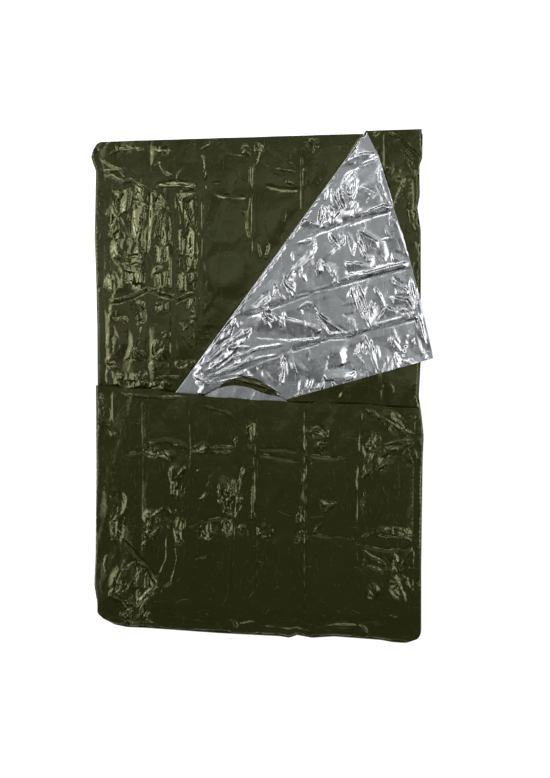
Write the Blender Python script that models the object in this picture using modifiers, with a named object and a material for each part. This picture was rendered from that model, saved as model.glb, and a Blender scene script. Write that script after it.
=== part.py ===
"""Emergency foil blanket: one sheet of film, folded in three across its width, with the free corner
turned back to show the silver inside, and then the lower third of the stack folded up over the front.

Metres, +Z up. The blanket lies flat on z = 0 with its long side along Y, and its middle over the origin.
The sheet is modelled flat, as it is cut, and its points are then taken round each fold in turn.
"""

import math

import bmesh
import bpy
import numpy as np
from mathutils import Vector

# ---- Driving sizes, in metres -------------------------------------------------------------------

FILM = 0.0010            # thickness of the sheet
PITCH = 0.0020           # height from the middle of one layer to the middle of the next
LEFT = -0.3640           # outer reach of the left fold
RIGHT = 0.3450           # outer reach of the right fold
BOTTOM = -0.5320         # outer reach of the bottom fold
TOP = 0.5350             # top edge of the panel that is folded over from the right
OVER_WIDTH = 0.6060      # width of the panel that is folded over from the right
UNDER_WIDTH = 0.6950     # width of the panel that is folded over from the left
FRONT = 0.5030           # height of the folded-up front at X = 0
FRONT_SLANT = 0.118      # how much shorter the front gets, as a share of its height, for each metre of X
CORNER_TOP = Vector((0.2340, 0.5360))     # the fold of the turned-back corner, at the top edge
CORNER_LOW = Vector((-0.1800, -0.0180))   # and where it goes under the front
LOFT = 0.0028            # how far the film puffs up between its creases
ROLL_STEPS = 4           # flat faces across a side fold or the corner's fold
HEM_STEPS = 6            # flat faces across the bottom fold
CELL = 0.0400            # longest side of a face where the film shows
WIDE = 0.1200            # and where it is hidden

# ---- Creases, bulges and uneven edges -----------------------------------------------------------

# A crease across the face is at one X or Y of the folded blanket. Its depth is a share of the puff.
MIDDLE_UPRIGHT = (       # x, depth, half width
    (-0.344, 1.00, 0.010),
    (-0.243, 0.80, 0.014),
    (-0.185, 0.60, 0.012),
    (-0.126, 0.85, 0.014),
    (-0.017, 0.80, 0.016),
    (0.100, 0.70, 0.016),
)
MIDDLE_LEVEL = (         # y, depth, half width
    (0.047, 0.70, 0.016),
    (0.192, 0.85, 0.016),
    (0.300, 0.30, 0.012),
    (0.420, 0.90, 0.014),
)
FRONT_UPRIGHT = (        # x, depth, half width
    (-0.259, 0.80, 0.014),
    (-0.156, 0.75, 0.014),
    (-0.045, 0.90, 0.010),
    (-0.006, 0.90, 0.010),
    (0.105, 0.85, 0.014),
    (0.221, 0.85, 0.014),
    (0.332, 0.90, 0.008),
)
FRONT_LEVEL = (          # y, depth, half width
    (-0.508, 0.90, 0.010),
    (-0.420, 0.25, 0.012),
    (-0.325, 0.90, 0.016),
    (-0.240, 0.25, 0.012),
    (-0.148, 0.90, 0.016),
)
# On the turned-back corner a crease is at a distance from the sheet's side or top edge.
CORNER_FROM_SIDE = (     # distance, depth, half width
    (0.104, 0.90, 0.014),
    (0.208, 0.85, 0.014),
    (0.323, 0.90, 0.014),
    (0.432, 0.85, 0.014),
)
CORNER_FROM_TOP = (      # distance, depth, half width
    (0.010, 0.80, 0.006),
    (0.122, 0.80, 0.014),
    (0.298, 0.80, 0.014),
)
LEFT_BULGE = (           # y, how far the left side stands out past LEFT
    (-0.532, -0.022),
    (-0.515, -0.003),
    (-0.486, -0.003),
    (-0.447, 0.004),
    (-0.385, 0.001),
    (-0.200, -0.001),
    (-0.019, 0.000),
    (0.127, 0.001),
    (0.251, 0.004),
    (0.313, 0.007),
    (0.410, 0.005),
    (0.465, 0.004),
    (0.483, 0.011),
    (0.496, 0.015),
    (0.511, 0.011),
    (0.524, 0.003),
    (0.531, -0.009),
)
RIGHT_BULGE = (          # y, how far the right side stands out past RIGHT
    (-0.532, -0.016),
    (-0.524, -0.002),
    (-0.512, 0.002),
    (-0.373, 0.002),
    (-0.220, 0.004),
    (-0.151, 0.005),
    (-0.101, 0.007),
    (-0.061, 0.003),
    (-0.020, -0.003),
    (0.056, 0.001),
    (0.326, 0.001),
    (0.372, -0.006),
    (0.398, -0.001),
    (0.459, -0.002),
    (0.475, 0.004),
    (0.534, 0.005),
)
BOTTOM_BULGE = (         # x, how far the bottom fold stands out past BOTTOM
    (-0.364, -0.008),
    (-0.338, 0.001),
    (-0.296, 0.005),
    (-0.241, 0.004),
    (-0.084, 0.005),
    (0.048, 0.003),
    (0.069, 0.005),
    (0.086, -0.002),
    (0.117, 0.002),
    (0.164, -0.004),
    (0.262, -0.003),
    (0.292, 0.000),
    (0.329, 0.000),
    (0.345, -0.006),
)
# The second layer of the front peeps out over the front's own edge in one soft tongue.
TONGUE = (               # x, how far it stands above the front's edge
    (-0.364, -0.010),
    (-0.120, -0.008),
    (-0.084, 0.001),
    (-0.060, 0.014),
    (-0.036, 0.024),
    (0.006, 0.021),
    (0.051, 0.010),
    (0.080, -0.006),
    (0.345, -0.010),
)
INNER_EDGE = 0.012       # how far the front's third layer stays short of the front's edge
BACK_EDGE = 0.010        # how far the back panel stays short of TOP
MIDDLE_EDGE = 0.006      # how far the panel from the left stays short of TOP
EDGE_REACH = 0.080       # how far into the sheet an uneven edge is felt
CORNER_ROWS = (0.465, 0.483, 0.496, 0.511, 0.524)   # extra cuts round the loose top left corner

# ---- Heights of the layers, and the folds that lead from one to the next ------------------------

BACK, MIDDLE, OVER, TURNED = (FILM / 2 + PITCH * layer for layer in range(4))
LEFT_BEND = PITCH / 2
RIGHT_BEND = PITCH
CORNER_BEND = PITCH / 2
HEM_AXIS = (OVER + TURNED + PITCH) / 2
HEM_BEND = HEM_AXIS - BACK
LEFT_LINE = LEFT + LEFT_BEND + FILM / 2
RIGHT_LINE = RIGHT - RIGHT_BEND - FILM / 2
HEM_LINE = BOTTOM + HEM_BEND + FILM / 2
LEFT_END = LEFT_LINE - math.pi * LEFT_BEND
RIGHT_END = RIGHT_LINE + math.pi * RIGHT_BEND
HEM_END = HEM_LINE - math.pi * HEM_BEND
CORNER_RUN = (CORNER_LOW - CORNER_TOP).normalized()
CORNER_OUT = Vector((CORNER_RUN.y, -CORNER_RUN.x))

# ---- The flat sheet: U across and V up, which are X and Y on the back panel ---------------------

SHEET_LEFT = LEFT_END - UNDER_WIDTH
SHEET_RIGHT = RIGHT_END + OVER_WIDTH
SHEET_LOW = HEM_END - FRONT
SHEET_TOP = TOP
LEFT_MIRROR = LEFT_LINE + LEFT_END      # U + X on the panel that is folded over from the left
RIGHT_MIRROR = RIGHT_LINE + RIGHT_END   # U + X on the panel that is folded over from the right
HEM_MIRROR = HEM_LINE + HEM_END         # V + Y on the front


def tapered(value, start, end):
    """Goes smoothly from 0 at start to 1 at end."""
    share = min(max((value - start) / (end - start), 0.0), 1.0)
    return share * share * (3 - 2 * share)


def looked_up(table, place):
    """The second column of a table, read at a place in its first."""
    places, values = zip(*table)
    return float(np.interp(place, places, values))


# ---- Folding ------------------------------------------------------------------------------------


def rolled(point, at, outward, axis, bend):
    """A point taken up and over a straight fold whose axis is at a height."""
    past = (point.xy - at).dot(outward)
    if past <= 0:
        return point
    turn = min(past / bend, math.pi)
    flat_rest = max(past - math.pi * bend, 0)
    reach = (axis - point.z) * math.sin(turn) - flat_rest
    ground = point.xy + (reach - past) * outward
    return Vector((ground.x, ground.y, axis - (axis - point.z) * math.cos(turn)))


def front_edge(x):
    """The Y of the front's free edge."""
    return HEM_LINE + FRONT * (1 - FRONT_SLANT * x)


def with_uneven_edges(u, v):
    """The flat sheet's V, where its top and lower edges run unevenly."""
    if u < LEFT_END:
        top, low = -MIDDLE_EDGE, -looked_up(TONGUE, LEFT_MIRROR - u)
    elif u > RIGHT_END:
        top, low = 0.0, INNER_EDGE
    else:
        top, low = -BACK_EDGE, -0.002 * math.sin(u * 19) * math.sin(u * 47)
    near_top = tapered(v, SHEET_TOP - EDGE_REACH, SHEET_TOP)
    near_low = tapered(-v, -SHEET_LOW - EDGE_REACH, -SHEET_LOW)
    return v + top * near_top + low * near_low


def folded(u, v):
    """Where a point of the flat sheet lies once every fold is made."""
    point = Vector((u, with_uneven_edges(u, v), BACK))
    if u < LEFT_LINE:
        point = rolled(point, Vector((LEFT_LINE, 0)), Vector((-1, 0)), BACK + LEFT_BEND, LEFT_BEND)
    if u > RIGHT_LINE:
        point = rolled(point, Vector((RIGHT_LINE, 0)), Vector((1, 0)), BACK + RIGHT_BEND, RIGHT_BEND)
    if u > RIGHT_END:
        point = rolled(point, CORNER_TOP, CORNER_OUT, OVER + CORNER_BEND, CORNER_BEND)
    point = rolled(point, Vector((0, HEM_LINE)), Vector((0, -1)), HEM_AXIS, HEM_BEND)
    if v < HEM_END:
        point.y = HEM_LINE + (point.y - HEM_LINE) * (1 - FRONT_SLANT * point.x)
    return point


# ---- Puff and creases ---------------------------------------------------------------------------


def creased(place, creases):
    """1 between creases, and less in each of them."""
    left = 1.0
    for at, depth, half_width in creases:
        left *= 1 - depth * math.exp(-(((place - at) / half_width) ** 2))
    return left


def uneven(x, y):
    """A share of the puff from about 0.2 to 1, so that no two cells rise alike."""
    slow = math.sin(31 * x + 9 * y + 1) + math.sin(17 * x - 27 * y)
    quick = math.sin(83 * y + 23 * x + 2) + math.sin(71 * x - 38 * y)
    return 0.6 + 0.1 * slow + 0.1 * quick


def past_corner(x, y):
    """How far a place lies beyond the fold of the turned-back corner, on its upper left."""
    return (Vector((x, y)) - CORNER_TOP).dot(CORNER_OUT)


def lift(u, v, point):
    """How far the film stands above its layer: only a layer with nothing on top of it puffs up."""
    x, y = point.x, point.y
    sides = tapered(x, LEFT, LEFT + 0.012) * tapered(-x, -RIGHT, 0.012 - RIGHT)
    clear_of_front = tapered(y, front_edge(x) + 0.026, front_edge(x) + 0.060)
    if LEFT_LINE < u < RIGHT_LINE and v < HEM_END:
        full = creased(x, FRONT_UPRIGHT) * creased(y, FRONT_LEVEL) * sides
        full *= tapered(y, BOTTOM + 0.004, BOTTOM + 0.020)
    elif u < LEFT_END and v > HEM_LINE:
        full = creased(x, MIDDLE_UPRIGHT) * creased(y, MIDDLE_LEVEL) * sides * clear_of_front
        full *= tapered(past_corner(x, y), 0.004, 0.040)
    elif u > RIGHT_END and past_corner(RIGHT_MIRROR - u, v) > math.pi * CORNER_BEND:
        full = creased(SHEET_RIGHT - u, CORNER_FROM_SIDE) * creased(SHEET_TOP - v, CORNER_FROM_TOP)
        full *= clear_of_front * tapered(-past_corner(x, y), 0, 0.020)
    else:
        return 0.0
    return LOFT * uneven(x, y) * full


def with_uneven_outline(point):
    """The whole stack's sides and bottom fold, bulging as the folds inside them press outwards."""
    at_left = tapered(-point.x, -LEFT - 0.090, -LEFT)
    at_right = tapered(point.x, RIGHT - 0.090, RIGHT)
    at_bottom = tapered(-point.y, -BOTTOM - 0.060, -BOTTOM)
    shift = Vector((0, 0, 0))
    shift.x += at_right * looked_up(RIGHT_BULGE, point.y) * (point.x < RIGHT + 0.004)
    shift.x -= at_left * looked_up(LEFT_BULGE, point.y)
    shift.y -= at_bottom * looked_up(BOTTOM_BULGE, point.x)
    return point + shift


# ---- The sheet as a mesh ------------------------------------------------------------------------


def spaced(marks, longest):
    """Places from the first mark to the last, through every mark, no further apart than longest."""
    marks = sorted(marks)
    places = []
    for low, high in zip(marks, marks[1:]):
        count = max(math.ceil((high - low) / longest), 1)
        places += [low + (high - low) * step / count for step in range(count)]
    return places + [marks[-1]]


def crease_marks(creases, start, end):
    """The bottom of each crease and its two shoulders, between two ends."""
    marks = [start, end]
    for at, _, half_width in creases:
        marks += [place for place in (at - half_width, at, at + half_width) if start < place < end]
    return marks


def cut(bm, inside, at, across):
    """Cuts the faces whose middle passes a test along the straight line through a point."""
    faces = [face for face in bm.faces if inside(face.calc_center_median())]
    geometry = set(faces)
    for face in faces:
        geometry.update(face.edges)
        geometry.update(face.verts)
    bmesh.ops.bisect_plane(
        bm,
        geom=list(geometry),
        dist=1e-6,
        plane_co=(at[0], at[1], 0),
        plane_no=(across[0], across[1], 0),
    )


def cut_upright(bm, inside, places):
    for place in places:
        cut(bm, inside, (place, 0), (1, 0))


def cut_level(bm, inside, places):
    for place in places:
        cut(bm, inside, (0, place), (0, 1))


def cut_folds(bm):
    """Cuts the flat sheet along both ends of every fold, and into flat faces across it."""

    def anywhere(_):
        return True

    def over_panel(middle):
        return middle.x > RIGHT_END

    def under_panel(middle):
        return middle.x < LEFT_END and middle.y > HEM_LINE

    steps = [step / ROLL_STEPS for step in range(ROLL_STEPS + 1)]
    cut_upright(bm, anywhere, [LEFT_LINE + (LEFT_END - LEFT_LINE) * step for step in steps])
    cut_upright(bm, anywhere, [RIGHT_LINE + (RIGHT_END - RIGHT_LINE) * step for step in steps])
    hem = [HEM_LINE + (HEM_END - HEM_LINE) * step / HEM_STEPS for step in range(HEM_STEPS + 1)]
    cut_level(bm, anywhere, hem)
    top_of_corner = Vector((RIGHT_MIRROR - CORNER_TOP.x, CORNER_TOP.y))
    corner_out = Vector((-CORNER_OUT.x, CORNER_OUT.y))
    for step in steps:
        at = top_of_corner + corner_out * math.pi * CORNER_BEND * step
        cut(bm, over_panel, at, corner_out)
    # The panel beneath shows only beyond the corner's fold, so it is cut there too.
    beneath = Vector((LEFT_MIRROR - CORNER_TOP.x, CORNER_TOP.y))
    cut(bm, under_panel, beneath, corner_out)


def cut_faces(bm):
    """Cuts each part of the sheet as finely as it shows."""
    shown_low = front_edge(RIGHT) - 0.020
    front_low = SHEET_LOW - 0.001

    def front(middle):
        return LEFT_LINE < middle.x < RIGHT_LINE and middle.y < HEM_LINE

    def front_and_sides(middle):
        return LEFT_END < middle.x < RIGHT_END and middle.y < HEM_END

    def middle_shown(middle):
        x = LEFT_MIRROR - middle.x
        return middle.x < LEFT_END and middle.y > shown_low and past_corner(x, middle.y) > 0

    def middle_and_side(middle):
        return middle.x < LEFT_LINE and middle.y > shown_low and (
            middle.x > LEFT_END or past_corner(LEFT_MIRROR - middle.x, middle.y) > 0
        )

    def left_corner(middle):
        return -0.040 < middle.x - LEFT_LINE < 0.060 and middle.y > CORNER_ROWS[0] - CELL

    def tongue(middle):
        return middle.x < LEFT_END and middle.y < SHEET_LOW + WIDE

    def corner(middle):
        return middle.x > RIGHT_END and past_corner(RIGHT_MIRROR - middle.x, middle.y) > 0

    def over_shown(middle):
        return middle.x > RIGHT_LINE and middle.y > shown_low and (
            middle.x < RIGHT_END or past_corner(RIGHT_MIRROR - middle.x, middle.y) < 0
        )

    def back(middle):
        return LEFT_LINE < middle.x < RIGHT_LINE and middle.y > HEM_LINE

    def hidden_sides(middle):
        return not LEFT_LINE < middle.x < RIGHT_LINE and middle.y < shown_low

    cut_upright(bm, front, spaced(crease_marks(FRONT_UPRIGHT, LEFT_LINE, RIGHT_LINE), CELL))
    level = spaced(crease_marks(FRONT_LEVEL, HEM_LINE, front_edge(0)), CELL)
    cut_level(bm, front_and_sides, [max(HEM_MIRROR - place, front_low) for place in level])

    upright = spaced(crease_marks(MIDDLE_UPRIGHT, LEFT_LINE, CORNER_TOP.x), CELL)
    cut_upright(bm, middle_shown, [LEFT_MIRROR - place for place in upright])
    cut_level(bm, middle_and_side, spaced(crease_marks(MIDDLE_LEVEL, shown_low, TOP), CELL))
    cut_level(bm, left_corner, CORNER_ROWS)

    from_side = spaced(crease_marks(CORNER_FROM_SIDE, 0, OVER_WIDTH), CELL)
    cut_upright(bm, corner, [SHEET_RIGHT - place for place in from_side])
    from_top = spaced(crease_marks(CORNER_FROM_TOP, 0, SHEET_TOP - shown_low), CELL)
    cut_level(bm, corner, [SHEET_TOP - place for place in from_top])

    cut_level(bm, over_shown, spaced((shown_low, SHEET_TOP), 1.5 * CELL))
    cut_upright(bm, back, spaced((LEFT_LINE, RIGHT_LINE), WIDE))
    cut_level(bm, back, spaced((HEM_LINE, SHEET_TOP), WIDE))
    cut_level(bm, hidden_sides, spaced((SHEET_LOW, HEM_END), WIDE))
    cut_level(bm, hidden_sides, spaced((HEM_LINE, shown_low), WIDE))
    cut_level(bm, tongue, [SHEET_LOW + EDGE_REACH / 2])
    cut_upright(bm, tongue, [LEFT_MIRROR - x for x, _ in TONGUE[1:-1]])


def centre_over_origin(bm):
    """Moves the sheet so that the middle of the whole blanket is over the origin."""
    across = [vert.co.x for vert in bm.verts]
    along = [vert.co.y for vert in bm.verts]
    middle = Vector((min(across) + max(across), min(along) + max(along), 0)) / 2
    bmesh.ops.translate(bm, vec=-middle, verts=bm.verts)


def sheet_mesh():
    bm = bmesh.new()
    width = SHEET_RIGHT - SHEET_LEFT
    height = SHEET_TOP - SHEET_LOW
    bmesh.ops.create_grid(bm, x_segments=1, y_segments=1, size=0.5)
    bmesh.ops.scale(bm, vec=(width, height, 1), verts=bm.verts)
    middle = ((SHEET_LEFT + SHEET_RIGHT) / 2, (SHEET_LOW + SHEET_TOP) / 2, 0)
    bmesh.ops.translate(bm, vec=middle, verts=bm.verts)
    cut_folds(bm)
    cut_faces(bm)
    bmesh.ops.triangulate(bm, faces=bm.faces)
    for vert in bm.verts:
        u, v = vert.co.x, vert.co.y
        point = folded(u, v)
        point.z += lift(u, v, point)
        vert.co = with_uneven_outline(point)
    centre_over_origin(bm)
    bm.normal_update()
    mesh = bpy.data.meshes.new("blanket")
    bm.to_mesh(mesh)
    bm.free()
    return mesh


# ---- Material and object ------------------------------------------------------------------------


def film_material():
    """Glossy olive film."""
    material = bpy.data.materials.new("olive film")
    material.use_nodes = True
    shader = material.node_tree.nodes["Principled BSDF"]
    shader.inputs["Base Color"].default_value = (0.036, 0.040, 0.012, 1)
    shader.inputs["Roughness"].default_value = 0.28
    shader.inputs["Metallic"].default_value = 0.0
    return material


def build():
    for old in list(bpy.data.objects):
        bpy.data.objects.remove(old, do_unlink=True)
    collection = bpy.data.collections.new("Emergency foil blanket")
    bpy.context.scene.collection.children.link(collection)
    blanket = bpy.data.objects.new("blanket", sheet_mesh())
    collection.objects.link(blanket)
    blanket.data.materials.append(film_material())
    thickness = blanket.modifiers.new("Film thickness", "SOLIDIFY")
    thickness.thickness = FILM
    thickness.offset = 0
    thickness.use_even_offset = True
    thickness.use_quality_normals = True


build()
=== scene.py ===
# %% [markdown]
# # Emergency foil blanket
# The real one is a single sheet of thin plastic film, olive outside and silver inside. It lies
# folded in three across its width, with a corner turned back, and then folded up from below.
# We load the solid model first, because it is the fixed frame that the film has to fit.

# %% Load the frame
import math
import random

import bmesh
import bpy
import numpy as np
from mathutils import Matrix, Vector
from mathutils.geometry import delaunay_2d_cdt


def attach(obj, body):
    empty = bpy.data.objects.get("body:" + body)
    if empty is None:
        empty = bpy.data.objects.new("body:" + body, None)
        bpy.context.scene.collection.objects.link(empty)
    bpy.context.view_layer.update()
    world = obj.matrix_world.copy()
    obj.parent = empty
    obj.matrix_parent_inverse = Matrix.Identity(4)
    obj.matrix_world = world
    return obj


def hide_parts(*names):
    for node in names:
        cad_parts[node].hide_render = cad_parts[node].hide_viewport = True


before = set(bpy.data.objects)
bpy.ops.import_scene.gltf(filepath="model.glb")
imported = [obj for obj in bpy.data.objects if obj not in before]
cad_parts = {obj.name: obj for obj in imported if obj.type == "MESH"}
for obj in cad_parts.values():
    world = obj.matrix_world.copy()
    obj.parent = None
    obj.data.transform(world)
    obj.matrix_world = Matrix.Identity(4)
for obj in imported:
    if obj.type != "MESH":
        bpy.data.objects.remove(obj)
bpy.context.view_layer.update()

# %% [markdown]
# ## Camera
# The blanket lies flat and is seen from above, from a little to its right, so the camera stands
# over the right side and leans to the left by that angle. A lens shift moves the frame down
# without turning the camera, which keeps the blanket's upright edges upright.

# %% Camera
VIEW_LEAN = math.radians(11.7265)
EYE = Vector((0.5082, 0.1918, 2.2580))
SENSOR = 36.0                                  # millimetres
FOCUS, FRAME_HEIGHT, ROW_SQUARE_ON = 1080.0, 778, 295   # pixels

camera_data = bpy.data.cameras.new("camera")
camera_data.sensor_fit = "VERTICAL"
camera_data.sensor_height = SENSOR
camera_data.lens = SENSOR * FOCUS / FRAME_HEIGHT
camera_data.shift_y = -(FRAME_HEIGHT / 2 - ROW_SQUARE_ON) / FRAME_HEIGHT
camera_data.clip_end = 50
camera = bpy.data.objects.new("camera", camera_data)
camera.location = EYE
camera.rotation_euler = (0, VIEW_LEAN, 0)
bpy.context.scene.collection.objects.link(camera)
bpy.context.scene.camera = camera
print(f"lens {camera_data.lens:.1f} mm, leaning {math.degrees(VIEW_LEAN):.1f} degrees")

# %% [markdown]
# ## Floor and light
# Film is a mirror with a dark tint, so what it reflects is what we see. Large soft boxes hang
# where only tilted film can reflect them, and the sky between them stays dim. A flat stretch
# of film is then dark, and each crease catches a thin line of light. The brightest boxes are
# furthest out, so that only the steepest creases find them.

# %% Floor and light
SOFT_BOXES = (  # name, middle X, middle Y, width, height, radiance
    ("left", -2.20, -0.10, 1.00, 2.40, 2.6),
    ("left dim", -1.58, -0.10, 0.24, 2.40, 0.8),
    ("left bright", -2.90, 0.50, 0.50, 1.20, 8.0),
    ("far", -0.70, 1.80, 2.00, 0.60, 2.0),
    ("far bright", -1.10, 2.40, 1.40, 0.40, 8.0),
    ("far left", -2.05, 1.45, 0.70, 0.60, 3.0),
    ("right", 1.15, 0.10, 1.00, 2.20, 2.2),
    ("right dim", 0.58, 0.10, 0.14, 2.20, 0.8),
    ("right bright", 1.80, 0.00, 0.40, 1.80, 6.0),
    ("near", -0.40, -2.10, 1.80, 0.60, 1.5),
)
BOX_LEVEL, LIGHT_TINT = 2.258, (1.0, 1.0, 1.20)
FLOOR_HALF, FLOOR_LEVEL = 6, -0.0004     # just under the film, so that no two faces coincide

corners = [(-1, -1), (1, -1), (1, 1), (-1, 1)]
floor_mesh = bpy.data.meshes.new("floor")
floor_mesh.from_pydata([(x * FLOOR_HALF, y * FLOOR_HALF, 0) for x, y in corners], [],
                       [(0, 1, 2, 3)])
floor = bpy.data.objects.new("floor", floor_mesh)
floor.location.z = FLOOR_LEVEL
bpy.context.scene.collection.objects.link(floor)

for name, x, y, width, height, radiance in SOFT_BOXES:
    light = bpy.data.lights.new(name, "AREA")
    light.shape = "RECTANGLE"
    light.color = LIGHT_TINT
    light.size, light.size_y = width, height
    light.energy = math.pi * width * height * radiance
    box = bpy.data.objects.new(name, light)
    box.location = (x, y, BOX_LEVEL)
    bpy.context.scene.collection.objects.link(box)
    print(f"{name}: {light.energy:.0f} W")

bpy.context.scene.view_settings.view_transform = "Standard"

# %% [markdown]
# ## Shader maths as plain expressions
# A material is easier to read as a formula than as a list of links. This small class wraps the
# output of a node, so that adding or multiplying two of them adds the Math node that does it.

# %% Shader maths
class Wire:
    """The output of a shader node, which takes part in sums."""

    def __init__(self, tree, socket):
        self.tree, self.socket = tree, socket

    def math(self, operation, other):
        return self.tree.node("ShaderNodeMath", {"operation": operation}, self, other)[0]

    def __add__(self, other):
        return self.math("ADD", other)

    def __sub__(self, other):
        return self.math("SUBTRACT", other)

    def __mul__(self, other):
        return self.math("MULTIPLY", other)

    def __rsub__(self, other):
        return self.tree.node("ShaderNodeMath", {"operation": "SUBTRACT"}, other, self)[0]

    __radd__ = __add__
    __rmul__ = __mul__

    def clamped(self, low, high):
        return self.math("MAXIMUM", low).math("MINIMUM", high)


class Tree:
    """A node tree that is written from code."""

    def __init__(self, tree):
        self.tree = tree
        tree.nodes.clear()

    def node(self, kind, settings=None, *values, **named):
        """Adds a node, sets it up, gives it values or wires, and returns its outputs."""
        made = self.tree.nodes.new(kind)
        for key, value in (settings or {}).items():
            if key == "stops":
                for place, (position, colour) in enumerate(value):
                    if place > 1:
                        made.color_ramp.elements.new(position)
                    made.color_ramp.elements[place].position = position
                    made.color_ramp.elements[place].color = (*colour, 1)
            else:
                setattr(made, key, value)
        inputs = list(zip([s for s in made.inputs if s.enabled], values))
        inputs += [(made.inputs[key.replace("_", " ")], value) for key, value in named.items()]
        for socket, value in inputs:
            if isinstance(value, Wire):
                self.tree.links.new(value.socket, socket)
            else:
                socket.default_value = value
        return [Wire(self, socket) for socket in made.outputs if socket.enabled]


def new_material(name):
    material = bpy.data.materials.new(name)
    material.use_nodes = True
    return material, Tree(material.node_tree)

# %% [markdown]
# ## Finish of the floor and the sky
# The floor is matt white with a glow of its own, which keeps it even under uneven light. The
# sky has bands along Y, as a ceiling lit in rows has, and fades to both sides. Film mirrors the
# bands softly, while the camera itself sees plain white.

# %% Finish of the floor and the sky
FLOOR_WHITE, FLOOR_GLOW = (0.9, 0.9, 0.9, 1), 0.65
material, tree = new_material("floor white")
shader = tree.node("ShaderNodeBsdfPrincipled", None, Base_Color=FLOOR_WHITE, Roughness=0.9,
                   Emission_Color=(1, 1, 1, 1), Emission_Strength=FLOOR_GLOW)[0]
tree.node("ShaderNodeOutputMaterial", None, shader)
floor_mesh.materials.append(material)

SKY_TINT = (0.91, 0.98, 1.17)
SKY_LEVELS = (  # the way along Y, from -1 to 1, and how bright the sky is there
    (-1.0, 0.05), (-0.45, 0.05), (-0.30, 0.10), (-0.16, 0.13), (-0.09, 0.20), (0.02, 0.60),
    (0.10, 0.38), (0.17, 0.17), (0.23, 0.34), (0.30, 0.78), (0.42, 0.95), (0.60, 0.40),
    (1.0, 0.20))
SKY_BANDS = [((1 + along) / 2, [level * part for part in SKY_TINT]) for along, level in SKY_LEVELS]
SKY_MIDDLE, SKY_NARROWING, SKY_AT_SIDES = -0.17, 2.6, 0.15

world = bpy.data.worlds.new("dim sky")
world.use_nodes = True
bpy.context.scene.world = world
sky = Tree(world.node_tree)
across, along, up = sky.node("ShaderNodeSeparateXYZ", None, sky.node("ShaderNodeTexCoord")[0])
bands = sky.node("ShaderNodeValToRGB", {"stops": SKY_BANDS}, 0.5 * along + 0.5)[0]
aside = (across - SKY_MIDDLE) * SKY_NARROWING
fading = (1.0 - aside * aside).clamped(SKY_AT_SIDES, 1.0)
shown = sky.node("ShaderNodeVectorMath", {"operation": "SCALE"}, bands, Scale=fading)[0]
seen = sky.node("ShaderNodeLightPath")[0]
colour = sky.node("ShaderNodeMix", {"data_type": "RGBA"}, seen, shown, (1, 1, 1, 1))[0]
background = sky.node("ShaderNodeBackground", None, colour, 1.0)[0]
sky.node("ShaderNodeOutputWorld", None, background)
print(len(SKY_BANDS), "bands of sky")

# %% [markdown]
# ## The flat sheet and its folds
# The blanket is one sheet, so it is modelled the way it is folded: each point of the flat sheet
# is rolled over one straight fold after another. A cloth simulation could fold it too, but film
# keeps each fold where it was pressed, so exact folds are truer and come out the same each time.
# The sizes are those of the solid model. U runs across the flat sheet and V up it, and they
# equal X and Y on the panel that lies on the floor.

# %% Sizes of the folds
FILM = 0.0004            # thickness of the film shell
MIDDLE_OF_FILM = 0.0005  # height of the lowest layer
PITCH = 0.0020           # from layer to layer
LEFT, RIGHT, BOTTOM, TOP = -0.3640, 0.3450, -0.5320, 0.5350
OVER_WIDTH, UNDER_WIDTH = 0.6060, 0.6950
FRONT, FRONT_SLANT = 0.5030, 0.118
CORNER_TOP = np.array((0.2340, 0.5360))
CORNER_LOW = np.array((-0.1800, -0.0180))
CENTRING = np.array((0.0034, 0.0007, 0.0))

BACK, OVER, TURNED = (MIDDLE_OF_FILM + PITCH * layer for layer in (0, 2, 3))
LEFT_BEND, RIGHT_BEND, CORNER_BEND = PITCH / 2, PITCH, PITCH / 2
HEM_AXIS = (OVER + TURNED + PITCH) / 2
HEM_BEND = HEM_AXIS - BACK
LEFT_LINE = LEFT + LEFT_BEND + MIDDLE_OF_FILM
RIGHT_LINE = RIGHT - RIGHT_BEND - MIDDLE_OF_FILM
HEM_LINE = BOTTOM + HEM_BEND + MIDDLE_OF_FILM
LEFT_END = LEFT_LINE - math.pi * LEFT_BEND
RIGHT_END = RIGHT_LINE + math.pi * RIGHT_BEND
HEM_END = HEM_LINE - math.pi * HEM_BEND
CORNER_RUN = (CORNER_LOW - CORNER_TOP) / np.linalg.norm(CORNER_LOW - CORNER_TOP)
CORNER_OUT = np.array((CORNER_RUN[1], -CORNER_RUN[0]))
HALF_FOLD = math.pi * CORNER_BEND
SHEET_LEFT, SHEET_RIGHT = LEFT_END - UNDER_WIDTH, RIGHT_END + OVER_WIDTH
SHEET_LOW, SHEET_TOP = HEM_END - FRONT, TOP
LEFT_MIRROR, RIGHT_MIRROR = LEFT_LINE + LEFT_END, RIGHT_LINE + RIGHT_END
print(f"flat sheet {SHEET_RIGHT - SHEET_LEFT:.3f} x {SHEET_TOP - SHEET_LOW:.3f} m")

# %% [markdown]
# Film that was cut and packed by hand has no straight outline. The folds inside press the sides
# outwards here and there, the cut edges run a little unevenly, the front's edge sags, and the
# film below it peeps out as a short tongue. Each outline is a table of a place along it and how
# far the edge stands out there, in metres.

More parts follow.
